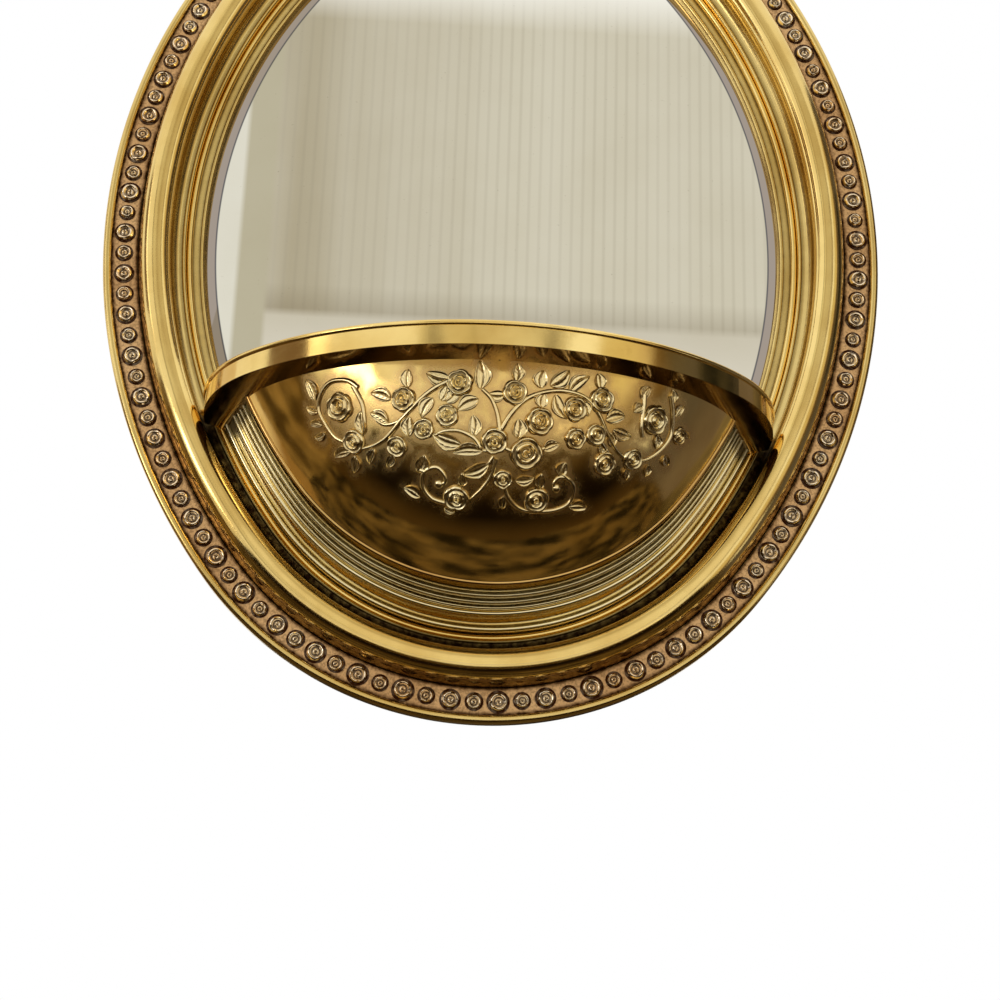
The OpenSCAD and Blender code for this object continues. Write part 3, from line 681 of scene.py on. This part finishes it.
def low_sweep(name, section, finish, slot_name, node):
    section = refine(section)
    verts = [place(*low_path(inset), depth) for inset, depth in section]
    rows, cols = len(verts), len(verts[0])
    start = [r * cols for r in range(rows)]
    faces = grid(rows, cols, wrap_rows=True) + [start[::-1], [r + cols - 1 for r in start]]
    grime = np.repeat(corner_grime(section), cols)
    piece = raw_piece(name, np.concatenate(verts), faces, grime=grime)
    finish_piece(piece, finish, slot_name, node)
    return piece


def on_skirt(across, rise):
    return SKIRT_IN + across * (LIP_IN - SKIRT_IN), FOOT_D + rise * (SKIRT_D - FOOT_D)


# Each step of the skirt: its share of the way across, the shares of the rise at its foot and nose,
# and the nose's radius
STEPS = [(0, 0.03, 0.17, 0.9), (0.33, 0.42, 0.45, 0.9), (0.49, 0.45, 0.54, 0.5), (0.6, 0.54, 0.65, 0.5),
         (0.72, 0.65, 0.78, 0.5)]


def skirt_section():
    line = [on_skirt(0, 0)]
    for across, low, high, nose in STEPS:
        cx, cd = on_skirt(across, high)
        line += [on_skirt(across, low)] + arc(cx + nose, cd, nose, 180, 12, 10)
    line += [on_skirt(0.84, 0.78), on_skirt(0.87, 0.9), on_skirt(0.94, 1), (LIP_IN + 1, SKIRT_D)]
    line += [on_skirt(0.94, 0.72), on_skirt(0.62, 0.4), on_skirt(0.34, 0.16), (33.0, 11.6), (33.0, FOOT_D)]
    return line


def lip_section():
    nose = LIP_T / 2
    line = arc(LIP_IN - 0.2, SKIRT_D + nose, nose, 270, 90, 12)
    return line + arc(LIP_IN + 0.7, SKIRT_D + nose, nose, 90, 0, 5) + [(LIP_IN + 1.0, SKIRT_D)]


skirt = low_sweep("stepped_skirt", skirt_section(), FINISH["bracket_skirt"], "skirt_brass", "bracket_skirt")
# Painted shadow of the shelf on the skirt's top
add_patina_and_shade(skirt, shelf_shadow_on_skirt)
low_sweep("bowl_lip", lip_section(), FINISH["bracket_lip"], "bead_brass", "bracket_lip")

# The lip's outline as seen from the middle of the shelf's underside
lip_x, lip_y = low_path(LIP_IN)
LIP_TURN = np.arctan2(lip_y - SHELF_Y, lip_x)[::-1]
LIP_REACH = np.hypot(lip_x, lip_y - SHELF_Y)[::-1]


# The half bowl, and relief on it
def bowl_at(x, z):
    """Flat point on the bowl, x across and z below the shelf's underside."""
    r, turn = np.hypot(x, z), np.arctan2(np.minimum(z, 0), x)
    share = r / np.interp(turn, LIP_TURN, LIP_REACH) * math.cos(BOWL_BACK_A)
    depth = BOWL_D0 + BOWL_REACH * np.sqrt(np.maximum(1 - share ** 2, 0))
    return np.stack(np.broadcast_arrays(x, z + SHELF_Y, depth), -1)


def bowl_frame(x, z):
    """Point, the two slopes and the outward direction of the bowl."""
    e = 0.02
    dx = (bowl_at(x + e, z) - bowl_at(x - e, z)) / (2 * e)
    dz = (bowl_at(x, z + e) - bowl_at(x, z - e)) / (2 * e)
    out = np.cross(dx, dz)
    return bowl_at(x, z), dx, dz, out / np.linalg.norm(out, axis=-1, keepdims=True)


def raise_on_bowl(x, z, height):
    here, _, _, out = bowl_frame(x, z)
    return here + out * np.asarray(height)[..., None]


def local_patch(x0, z0):
    """Matrix from millimetres on the bowl round one point to steps in x and z."""
    _, dx, dz, out = bowl_frame(np.float64(x0), np.float64(z0))
    e1 = dx / np.linalg.norm(dx)
    e2 = np.cross(out, e1)
    return np.linalg.inv(np.array([[e1 @ dx, e1 @ dz], [e2 @ dx, e2 @ dz]]))


# The vine, in millimetres across and below the shelf's underside. Roses and berries end with a radius,
# leaves run from foot to tip and end with a width, and stems run through points.
ROSES = [(-0.5, -24.5, 3.7), (9.5, -27.5, 4.6), (13, -18, 3.9), (24, -13, 3.5), (31, -19.5, 3.1),
         (24.5, -21.5, 3.1), (34.5, -27, 3.5), (43.5, -24, 3.2), (50.5, -11, 4.3), (32.5, -9, 3.7),
         (5, -10, 3.5), (-12, -7.5, 3.7), (-15.5, -17.5, 3.2), (-22.5, -21, 3), (-29, -12, 3.5),
         (-30.5, -25.5, 3.1), (-44, -22.5, 3.5), (-49, -12, 4.2), (-11.5, -40, 3.7), (13.5, -39.5, 3.7),
         (2.5, -35, 2.8), (59.5, -13, 2.6)]
LEAVES = [(-5.5, -9.5, -6, -1.5, 4.6), (-15, -6.5, -21.5, -4.5, 4.2), (-6, -12.5, -11.5, -15.5, 4.2),
          (2, -11, -2.5, -11, 3.2), (5.5, -6.5, 5.5, -1.5, 3.7), (13, -8, 13.5, -3, 4.2),
          (16, -7, 21, -2, 4.2), (22, -8, 27.5, -3, 3.7), (32, -5.5, 31, -1.5, 3.5),
          (34, -14.5, 39.5, -12.5, 4.2), (36.5, -17, 42, -17.5, 3.5), (33, -21.5, 33, -24.5, 2.8),
          (-7, -23.5, -7.5, -18, 3.7),
          (-10.5, -26, -18.5, -23, 4.2), (-4, -27.5, -12, -28, 3.7), (-2, -31, -9, -33.5, 3.9),
          (6.5, -23.5, 6.5, -18.5, 4.2), (14.5, -26, 19, -24, 3.2), (-20, -12, -23, -17, 3.7),
          (-27, -23, -27, -18, 3.7), (-33, -11.5, -38.5, -9.5, 3.7), (-28, -8.5, -28, -3.5, 3.5),
          (-33.5, -18.5, -38.5, -15.5, 3.5), (-31.5, -27.5, -33, -30.5, 2.8),
          (-37.5, -25.5, -38.5, -29, 2.6), (-43.5, -26.5, -43.5, -30.5, 3.1),
          (-45, -25, -49.5, -25.5, 3.1), (-41, -21, -42, -15, 3.3),
          (-57, -8.5, -60, -2.5, 3.2), (-56, -12, -59.5, -10, 2.4), (-10, -37, -10, -34, 3.1),
          (14.5, -36.5, 14.5, -33, 3.1), (-22.5, -39.5, -27, -37, 3.3), (24, -40, 29, -39.5, 3.3),
          (-23.5, -33, -22, -29, 4.2), (20.5, -32.5, 21.5, -29, 3.5), (6.5, -35, 11.5, -34, 3.1),
          (3, -42.5, 3.5, -39.5, 2.6), (-15, -42.5, -12, -43.5, 2), (45.5, -6, 48, -2, 3.1),
          (46, -8, 43.5, -10, 3.1), (51.5, -15, 51.5, -18.5, 2.8), (56.5, -4.5, 56, -1, 2.6),
          (57.5, -8, 60, -4.5, 2.6), (54.5, -20, 56, -22, 2.8), (49, -24, 48.5, -27, 2.4),
          (42.5, -26, 42, -29.5, 2.4), (13.5, -14, 14, -10, 3.7), (17.5, -9.5, 21, -15.5, 3.7),
          (26, -10.5, 28, -14, 3.2), (-17.5, -13, -16, -9, 3.7), (-16, -13.5, -12, -11, 3.7),
          (-54.5, -16, -58, -15, 2.4), (-53.5, -18.5, -56.5, -19, 2.4), (36.5, -22, 35.5, -18.5, 2.8),
          (57.5, -13, 62.5, -12.5, 2.6)]
STEMS = [
    [(1.5, -21), (4.5, -16), (9, -11.5), (14.5, -9), (20.5, -8), (27, -9), (31.5, -13), (34.5, -18),
     (38, -22.5), (42.5, -25)],
    [(-14.5, -6.5), (-19.5, -9), (-23.5, -12), (-27, -15.5), (-30.5, -18.5), (-34.5, -19), (-37, -17.5)],
    [(-29.5, -18), (-33.5, -22.5), (-37.5, -24.5), (-41, -25)],
    [(1, -22), (0, -17), (-2, -12.5), (-5, -9.5)],
    [(-43.5, -7), (-47, -4.5), (-52, -4), (-55, -6.5), (-56, -11), (-53.5, -16), (-50, -20.5),
     (-45.5, -23)],
    [(-45, -6.5), (-42, -12), (-41, -17), (-41, -21)],
    [(55.5, -2.5), (56.5, -7), (56.5, -13.5), (53.5, -18.5), (49, -22.5), (44.5, -24.5)],
    [(46.5, -4.5), (46.5, -8), (46, -14), (46.5, -17)],
    [(0, -29.5), (-1, -34), (-3.5, -37.5), (-7, -40.5)],
    [(-14, -41.5), (-19, -40), (-22, -36.5), (-21.5, -33), (-18, -32), (-15.5, -34), (-15, -36),
     (-17, -36.5)],
    [(3, -36.5), (4.5, -39.5), (8, -42), (13, -42.5), (19.5, -41.5), (24, -39), (25, -35), (23, -33),
     (20, -33), (18.5, -35), (19.5, -36)],
    [(-5, -26.5), (-7, -24), (-11.5, -22), (-16, -22), (-18.5, -23)],
    [(-0.5, -29), (-2, -31)], [(-1, -27.5), (-4, -27.5)], [(2.5, -26.5), (5.5, -27.5)],
    [(13, -26.5), (15, -25.5)], [(33, -21.5), (35.5, -24)], [(-21.5, -33), (-23, -32.5)],
    [(23, -33), (21, -32)],
]
BERRIES = [(-17, -36.5, 1.5), (19.5, -36, 1.5)]
# Shares by which roses and leaves outgrow those figures, and a leaf's half width
ROSE_SCALE, LEAF_LONG, LEAF_HALF = 1.2, 1.16, 0.6


def disc_relief(x0, z0, radius, height_of, rings, around):
    """Closed relief on the bowl: a polar grid of heights that sinks below the surface at its rim."""
    share = np.concatenate([np.linspace(0.04, 1, rings), [1.02]])
    turn = np.arange(around) * 2 * math.pi / around
    t, a = np.meshgrid(share, turn, indexing="ij")
    reach, height, darkening = height_of(t, a)
    reach[-1], height[-1] = reach[-2] * 1.01, -0.35
    steps = np.stack([(reach * radius * np.cos(a)).ravel(), (reach * radius * np.sin(a)).ravel()])
    steps = local_patch(x0, z0) @ steps
    points = raise_on_bowl(x0 + steps[0], z0 + steps[1], height.ravel())
    middle = raise_on_bowl(np.array([x0, x0]), np.array([z0, z0]), np.array([height[0].mean(), -0.35]))
    verts = np.concatenate([points, middle])
    faces = capped_tube(len(share), around, 0, len(points), len(points) + 1)
    return verts, faces, np.concatenate([darkening.ravel(), [darkening[0].mean(), 1]])


def vine_rose(x0, z0, radius, seed):
    """Open rose: four to six outer petals, three inner ones between them, and a bud with a sunk eye."""
    first = seed * 2.399
    folds = (2.5, 2.0, 3.0)[seed % 3]
    tall = 0.34 * radius

    def height_of(t, a):
        b = a + first
        off = t + 0.07 * np.sin(b) * (1 - t ** 4)
        outer, inner = np.abs(np.sin(folds * b)) ** 0.6, np.abs(np.sin(1.5 * b + 1)) ** 0.6
        dome = np.sqrt(np.clip(1 - (t / 1.05) ** 2, 0, 1))
        h = 0.12 + 0.34 * dome + 0.6 * bump_at(off, 0.82, 0.14) * (0.35 + 0.65 * outer)
        h += 0.66 * bump_at(off, 0.48, 0.11) * (0.5 + 0.5 * inner) + 0.62 * bump_at(off, 0.17, 0.09)
        h *= np.clip((1.02 - t) * 9, 0, 1)
        darkening = bump_at(off, 0.655, 0.06) + 0.9 * bump_at(off, 0.325, 0.05) + 0.9 * bump_at(t, 0, 0.08)
        darkening += 0.7 * (1 - outer) * bump_at(off, 0.84, 0.12) + bump_at(t, 1.0, 0.05)
        return t * (1 - 0.13 * (1 - outer) * t ** 2), h * tall, np.clip(darkening, 0, 1)

    return disc_relief(x0, z0, radius, height_of, 21, 48)


def berry(x0, z0, radius):
    def height_of(t, a):
        return t, radius * 0.75 * np.sqrt(np.clip(1 - t ** 2, 0, 1)), bump_at(t, 1.0, 0.15)

    return disc_relief(x0, z0, radius, height_of, 9, 20)


def leaf(x0, z0, x1, z1, wide, bend):
    """Pointed leaf with a raised rim, a sunk vein and side veins, from its foot to its tip."""
    patch = local_patch((x0 + x1) / 2, (z0 + z1) / 2)
    ahead = np.linalg.inv(patch) @ np.array([x1 - x0, z1 - z0])
    length = np.linalg.norm(ahead)
    along = ahead / length
    across = np.array([-along[1], along[0]])
    length *= LEAF_LONG
    bank = np.sin(np.linspace(-math.pi / 2, math.pi / 2, 21))
    s, w = np.meshgrid(np.linspace(0, 1, 19), bank, indexing="ij")
    half = LEAF_HALF * wide * (np.sin(math.pi * s ** 0.85) ** 0.85 + 0.03)
    curve = bend * length * 0.1 * np.sin(math.pi * s)
    flat = along[:, None, None] * (s * length) + across[:, None, None] * (w * half + curve)
    steps = patch @ flat.reshape(2, -1)
    veins = 0.5 + 0.5 * np.cos((s * 5 - np.abs(w) * 1.6) * 2 * math.pi)
    height = 0.34 * (1 - w ** 4) + 0.62 * bump_at(np.abs(w), 0.86, 0.11) - 0.3 * bump_at(w, 0, 0.12)
    height += bend * 0.16 * w * (1 - w ** 2) - 0.07 * veins * (1 - w ** 2)
    height = height * np.clip(half / 0.8, 0.25, 1) * 1.2
    height[:, 0] = height[:, -1] = -0.3
    darkening = 0.9 * bump_at(w, 0, 0.1) + bump_at(np.abs(w), 1, 0.08) + 0.3 * bump_at(np.abs(w), 0.66, 0.1)
    x, z = x0 + steps[0], z0 + steps[1]
    top, low = raise_on_bowl(x, z, height.ravel()), raise_on_bowl(x, z, np.full(x.shape, -0.4))
    verts = np.concatenate([top, low])
    return verts, shell_faces(*s.shape), np.concatenate([np.clip(darkening, 0, 1).ravel(), np.ones(len(x))])


def smooth_line(points, steps=9):
    """Smooth line through points on the bowl, a cubic from each to the next."""
    p = np.array([points[0]] + points + [points[-1]], float)
    t = np.linspace(0, 1, steps, endpoint=False)[:, None]
    out = []
    for a, b, c, d in zip(p, p[1:], p[2:], p[3:]):
        second, third = 2 * a - 5 * b + 4 * c - d, 3 * b - a - 3 * c + d
        out.append(0.5 * (2 * b + (c - a) * t + second * t ** 2 + third * t ** 3))
    return np.concatenate(out + [p[-2:-1]])


def stem(points, thick=0.8, around=10):
    """Round stem through points on the bowl, half sunk, thinner towards its end."""
    line = smooth_line(points)
    here, _, _, out = bowl_frame(line[:, 0], line[:, 1])
    ahead = np.gradient(here, axis=0)
    ahead /= np.linalg.norm(ahead, axis=1, keepdims=True)
    across = np.cross(ahead, out)
    radius = thick * np.linspace(1.1, 0.75, len(line))[:, None, None]
    turn = np.arange(around) * 2 * math.pi / around
    wide, high = np.cos(turn)[None, :, None], (np.sin(turn) * 0.95 + 0.15)[None, :, None]
    rings = here[:, None] + radius * (across[:, None] * wide + out[:, None] * high)
    verts = np.concatenate([rings.reshape(-1, 3), here[:1], here[-1:]])
    darkening = np.clip(0.9 - np.sin(turn) * 1.4, 0, 1)
    faces = capped_tube(len(line), around, 0, len(verts) - 2, len(verts) - 1)
    return verts, faces, np.concatenate([np.tile(darkening, len(line)), [1, 1]])


def rose_vine():
    """The whole vine as one piece, and its flat points."""
    parts = [vine_rose(x, z, r * ROSE_SCALE, i) for i, (x, z, r) in enumerate(ROSES)]
    parts += [leaf(*shape, bend=(1 if i % 2 else -1)) for i, shape in enumerate(LEAVES)]
    parts += [stem(points) for points in STEMS]
    parts += [berry(*spot) for spot in BERRIES]
    faces, count = [], 0
    for verts, part_faces, _ in parts:
        faces += [[i + count for i in face] for face in part_faces]
        count += len(verts)
    flat = np.concatenate([verts for verts, _, _ in parts])
    grime = np.concatenate([darkening for _, _, darkening in parts])
    vine = raw_piece("rose_vine", place(*flat.T), faces, grime=grime)
    finish_piece(vine, FINISH["rose_vine"], "bowl_brass", crease=60)
    return flat


def bowl_shell(sheet):
    """Across, up and depth of the bowl's surface, drawn in by the sheet's thickness."""
    reach = BOWL_REACH - sheet
    back = math.asin((SKIRT_D + LIP_T - BOWL_D0) / reach)
    a = back + (math.pi / 2 - back) * np.linspace(0, 1, BOWL_ROWS) ** 0.92
    x, y = low_path(LIP_IN + sheet)
    k = (np.cos(a) / math.cos(back))[:, None]
    k[-1] = 0.004
    depth = BOWL_D0 + reach * np.sin(a)[:, None]
    return np.stack(np.broadcast_arrays(x * k, SHELF_Y + (y - SHELF_Y) * k, depth), -1)


def half_bowl(vine_points):
    """The bowl's shell, a little duller close to the vine."""
    outer = bowl_shell(0.0)
    flat = np.concatenate([outer, bowl_shell(BOWL_SHEET)]).reshape(-1, 3)
    finder = KDTree(len(vine_points))
    for i, point in enumerate(vine_points):
        finder.insert(point, i)
    finder.balance()
    near = [0.92 * math.exp(-(finder.find(point)[2] / 2.3) ** 2) for point in flat]
    bowl = raw_piece("half_bowl", place(*flat.T), shell_faces(*outer.shape[:2]), grime=near)
    finish_piece(bowl, FINISH["bracket_bowl"], "bowl_brass", "bracket_bowl", crease=50)


half_bowl(rose_vine())

# Floor, and cards that only the polish sees
FLOOR_Z = -0.80
FLOOR_HALF = 6
CARD_Z = FLOOR_Z + 0.08


def lay_floor():
    corners = [(-FLOOR_HALF, -FLOOR_HALF), (FLOOR_HALF, -FLOOR_HALF), (FLOOR_HALF, FLOOR_HALF),
               (-FLOOR_HALF, FLOOR_HALF)]
    floor = raw_piece("floor", [(x, y, FLOOR_Z) for x, y in corners], [(0, 1, 2, 3)])
    material, tree, shader, _ = new_material("floor_paint")
    feed(tree, shader, Base_Color=colour(236, 234, 230), Roughness=0.9)
    floor.data.materials.append(material)


def studio_card(name, corners, paint, strength=1.0, faces=((0, 1, 2, 3),)):
    """A card that stands round the piece and shows only in its polish, as a photographer's flags do."""
    thing = raw_piece(name, corners, faces)
    material, tree, shader, coord = new_material(name + "_paint")
    feed(tree, shader, Base_Color=(0, 0, 0, 1), Specular_IOR_Level=0.0, Emission_Strength=strength,
         Emission_Color=paint(tree, coord, axes(tree, coord)))
    thing.data.materials.append(material)
    thing.visible_camera = thing.visible_diffuse = thing.visible_shadow = False


def cloth(low, high, scale, stretch=None):
    def paint(tree, coord, at):
        folds = noise(tree, coord, scale, 3.0, 0.55, stretch)
        return mix(tree, spread(tree, folds, 0.42, 0.62), low, high)

    return paint


def graded(axis, stops, haze=0.12):
    """Cloth that turns from one colour to the next along an axis, with uneven bounds."""
    def paint(tree, coord, at):
        clouds = noise(tree, coord, 2.6, 3.0, 0.55)
        where = plus(tree, at[axis], spread(tree, clouds, 0.3, 0.7, -haze, haze))
        result = stops[0][1]
        for (low, _), (high, tone) in zip(stops, stops[1:]):
            result = mix(tree, spread(tree, where, low, high), result, tone)
        return result

    return paint


def plain_paint(*tone):
    def paint(tree, coord, at):
        clouds = noise(tree, coord, 2.0, 2.0)
        return mix(tree, spread(tree, clouds, 0.3, 0.7, 0.0, 0.2), tone, tuple(0.7 * c for c in tone))

    return paint


def boarded_wall(tree, coord, at):
    """A pale boarded wall with a rail, a white post to the left and a dark doorway on each side."""
    x, z = at[0], at[2]
    boards = mix(tree, spread(tree, x, -0.34, 0.12), (180, 170, 146), (212, 206, 188))
    lines = spread(tree, maths(tree, "SINE", times(tree, x, 300.0)), 0.3, 1.0, 0.0, 0.22)
    broad = spread(tree, noise(tree, coord, 7.0, 2.0, 0.5, (1.0, 1.0, 0.05)), 0.4, 0.6, 0.0, 0.3)
    boards = mix(tree, lines, boards, (160, 152, 134))
    boards = mix(tree, broad, boards, (222, 217, 202))
    boards = mix(tree, spread(tree, z, 0.87, 0.92, 0.3, 0.0), boards, (120, 104, 78))
    rail = mix(tree, spread(tree, z, 0.55, 0.86), (246, 242, 232), (208, 201, 184))
    wall = mix(tree, spread(tree, z, 0.852, 0.868), rail, boards)
    post = mix(tree, spread(tree, x, -0.402, -0.392), (228, 225, 213), (192, 185, 162))
    wall = mix(tree, spread(tree, x, -0.345, -0.335, 1.0, 0.0), wall, post)
    away = maths(tree, "ABSOLUTE", x)
    door = times(tree, spread(tree, away, 0.78, 0.8), spread(tree, away, 0.98, 1.0, 1.0, 0.0))
    door = times(tree, door, spread(tree, z, 1.25, 1.3, 0.5, 0.0))
    wall = mix(tree, door, wall, (58, 46, 28))
    return mix(tree, spread(tree, z, 1.5, 1.6), wall, (252, 250, 244))


# Upright cards: the two ends of each on the plan, its lower and upper edge, its paint and its strength
CARDS = {
    "wall_card": ((-1.15, -2.4), (1.15, -2.4), -0.4, 2.6, boarded_wall, 1.0),
    "right_card": ((1.2, -1.65), (1.2, 0.55), CARD_Z, 0.95,
                   graded(1, [(-1.1, (220, 206, 168)), (-0.9, (208, 192, 162)), (-0.68, (108, 84, 50)),
                              (-0.5, (92, 84, 74)), (-0.1, (90, 84, 84)), (0.5, (112, 100, 92))]), 1.0),
    "left_card": ((-1.2, -0.45), (-1.2, 0.6), CARD_Z, -0.12, cloth((72, 56, 32), (150, 124, 84), 5.0), 1.0),
    "left_back_card": ((-1.5, 0.5), (-0.6, 0.5), CARD_Z, 0.5,
                       graded(2, [(-0.5, (142, 112, 70)), (-0.34, (230, 216, 194))], 0.05), 1.0),
    "right_back_card": ((0.6, 0.5), (1.5, 0.5), CARD_Z, 0.5, cloth((70, 60, 40), (128, 114, 88), 2.0), 1.0),
    "window_card": ((-1.33, -0.84), (-1.09, -1.14), -0.4, -0.14, plain_paint(255, 253, 250), 6.0),
    "tall_window": ((-1.2, -0.72), (-1.2, -0.5), 0.06, 0.5, plain_paint(255, 252, 246), 1.9),
    "dark_curtain": ((1.17, -0.3), (1.17, 0.12), -0.02, 0.5, cloth((28, 28, 24), (72, 66, 54), 6.0), 1.0),
    "back_shadow": ((-0.6, 0.5), (0.6, 0.5), -0.72, -0.3, cloth((52, 42, 30), (96, 84, 62), 4.0), 1.0),
    "left_shade": ((-1.42, -0.74), (-1.42, -0.1), 0.12, 0.62,
                   graded(1, [(-0.72, (158, 146, 150)), (-0.5, (126, 108, 96))], 0.04), 1.0),
    "light_door": ((1.19, -0.62), (1.19, -0.34), -0.62, -0.44, plain_paint(236, 232, 226), 1.0),
    "small_window": ((0.46, -1.02), (0.70, -0.92), -0.58, -0.5, plain_paint(255, 248, 236), 1.5),
}


def near_flag(out=0.1, front=-0.21, back=-0.06, steps=24):
    """A dark curved strip that follows the lower oval at a distance, seen only in the polish."""
    a = np.radians(np.linspace(216, 324, steps + 1))
    x = ((SIDE_R - SIDE_OFF) * MM + out) * np.cos(a)
    z = ((END_R + END_OFF) * MM + out) * np.sin(a) - HANG * MM
    verts = [(across, y, up) for across, up in zip(x, z) for y in (front, back)]
    faces = [(2 * k, 2 * k + 1, 2 * k + 3, 2 * k + 2) for k in range(steps)]
    stops = [(-0.21, (84, 66, 40)), (-0.15, (22, 14, 8)), (-0.11, (18, 12, 6)), (-0.07, (66, 50, 28))]
    studio_card("near_flag", verts, graded(1, stops, 0.01), faces=faces)


lay_floor()
studio_card("low_card", [(x, y, CARD_Z) for x, y in ((-1.4, -1.02), (1.4, -1.02), (1.4, 1.0), (-1.4, 1.0))],
            cloth((30, 24, 12), (108, 88, 58), 19.0, (0.4, 1.0, 1.0)))
for name, (start, end, low, high, paint, strength) in CARDS.items():
    studio_card(name, [(*start, low), (*end, low), (*end, high), (*start, high)], paint, strength)
near_flag()


# World and lamps
def light_world():
    """White where it is seen and in the polish, and a softer warm white as a light."""
    world = bpy.data.worlds.new("world")
    bpy.context.scene.world = world
    world.use_nodes = True
    tree = world.node_tree
    tree.nodes.clear()
    path = tree.nodes.new("ShaderNodeLightPath").outputs
    seen = maths(tree, "MAXIMUM", path["Is Camera Ray"], path["Is Glossy Ray"])
    seen = maths(tree, "MAXIMUM", seen, path["Is Transmission Ray"])
    soft = step(tree, "ShaderNodeBackground", Color=colour(250, 248, 244), Strength=0.9)
    white = step(tree, "ShaderNodeBackground", Color=(1, 1, 1, 1), Strength=1.0)
    pick = tree.nodes.new("ShaderNodeMixShader")
    for source, socket in zip((seen, soft.outputs[0], white.outputs[0]), pick.inputs):
        join(tree, source, socket)
    step(tree, "ShaderNodeOutputWorld", Surface=pick.outputs[0])


LAMP_TARGET = Vector((0, 0, -0.2))


def lamp(name, where, size, power):
    data = bpy.data.lights.new(name, "AREA")
    data.shape = "RECTANGLE"
    data.size, data.size_y = size
    data.energy = power
    data.color = (1.0, 0.97, 0.92)
    thing = link(name, data)
    thing.location = where
    thing.rotation_euler = (LAMP_TARGET - Vector(where)).to_track_quat("-Z", "Y").to_euler()
    thing.visible_glossy = False


light_world()
lamp("key_lamp", (-1.5, -1.7, 1.2), (1.2, 0.9), 16)
lamp("fill_lamp", (1.9, -1.3, 0.5), (0.8, 1.4), 7)
lamp("back_lamp", (0.8, 1.8, 0.9), (1.4, 1.0), 12)

bpy.context.scene.view_settings.view_transform = "Standard"
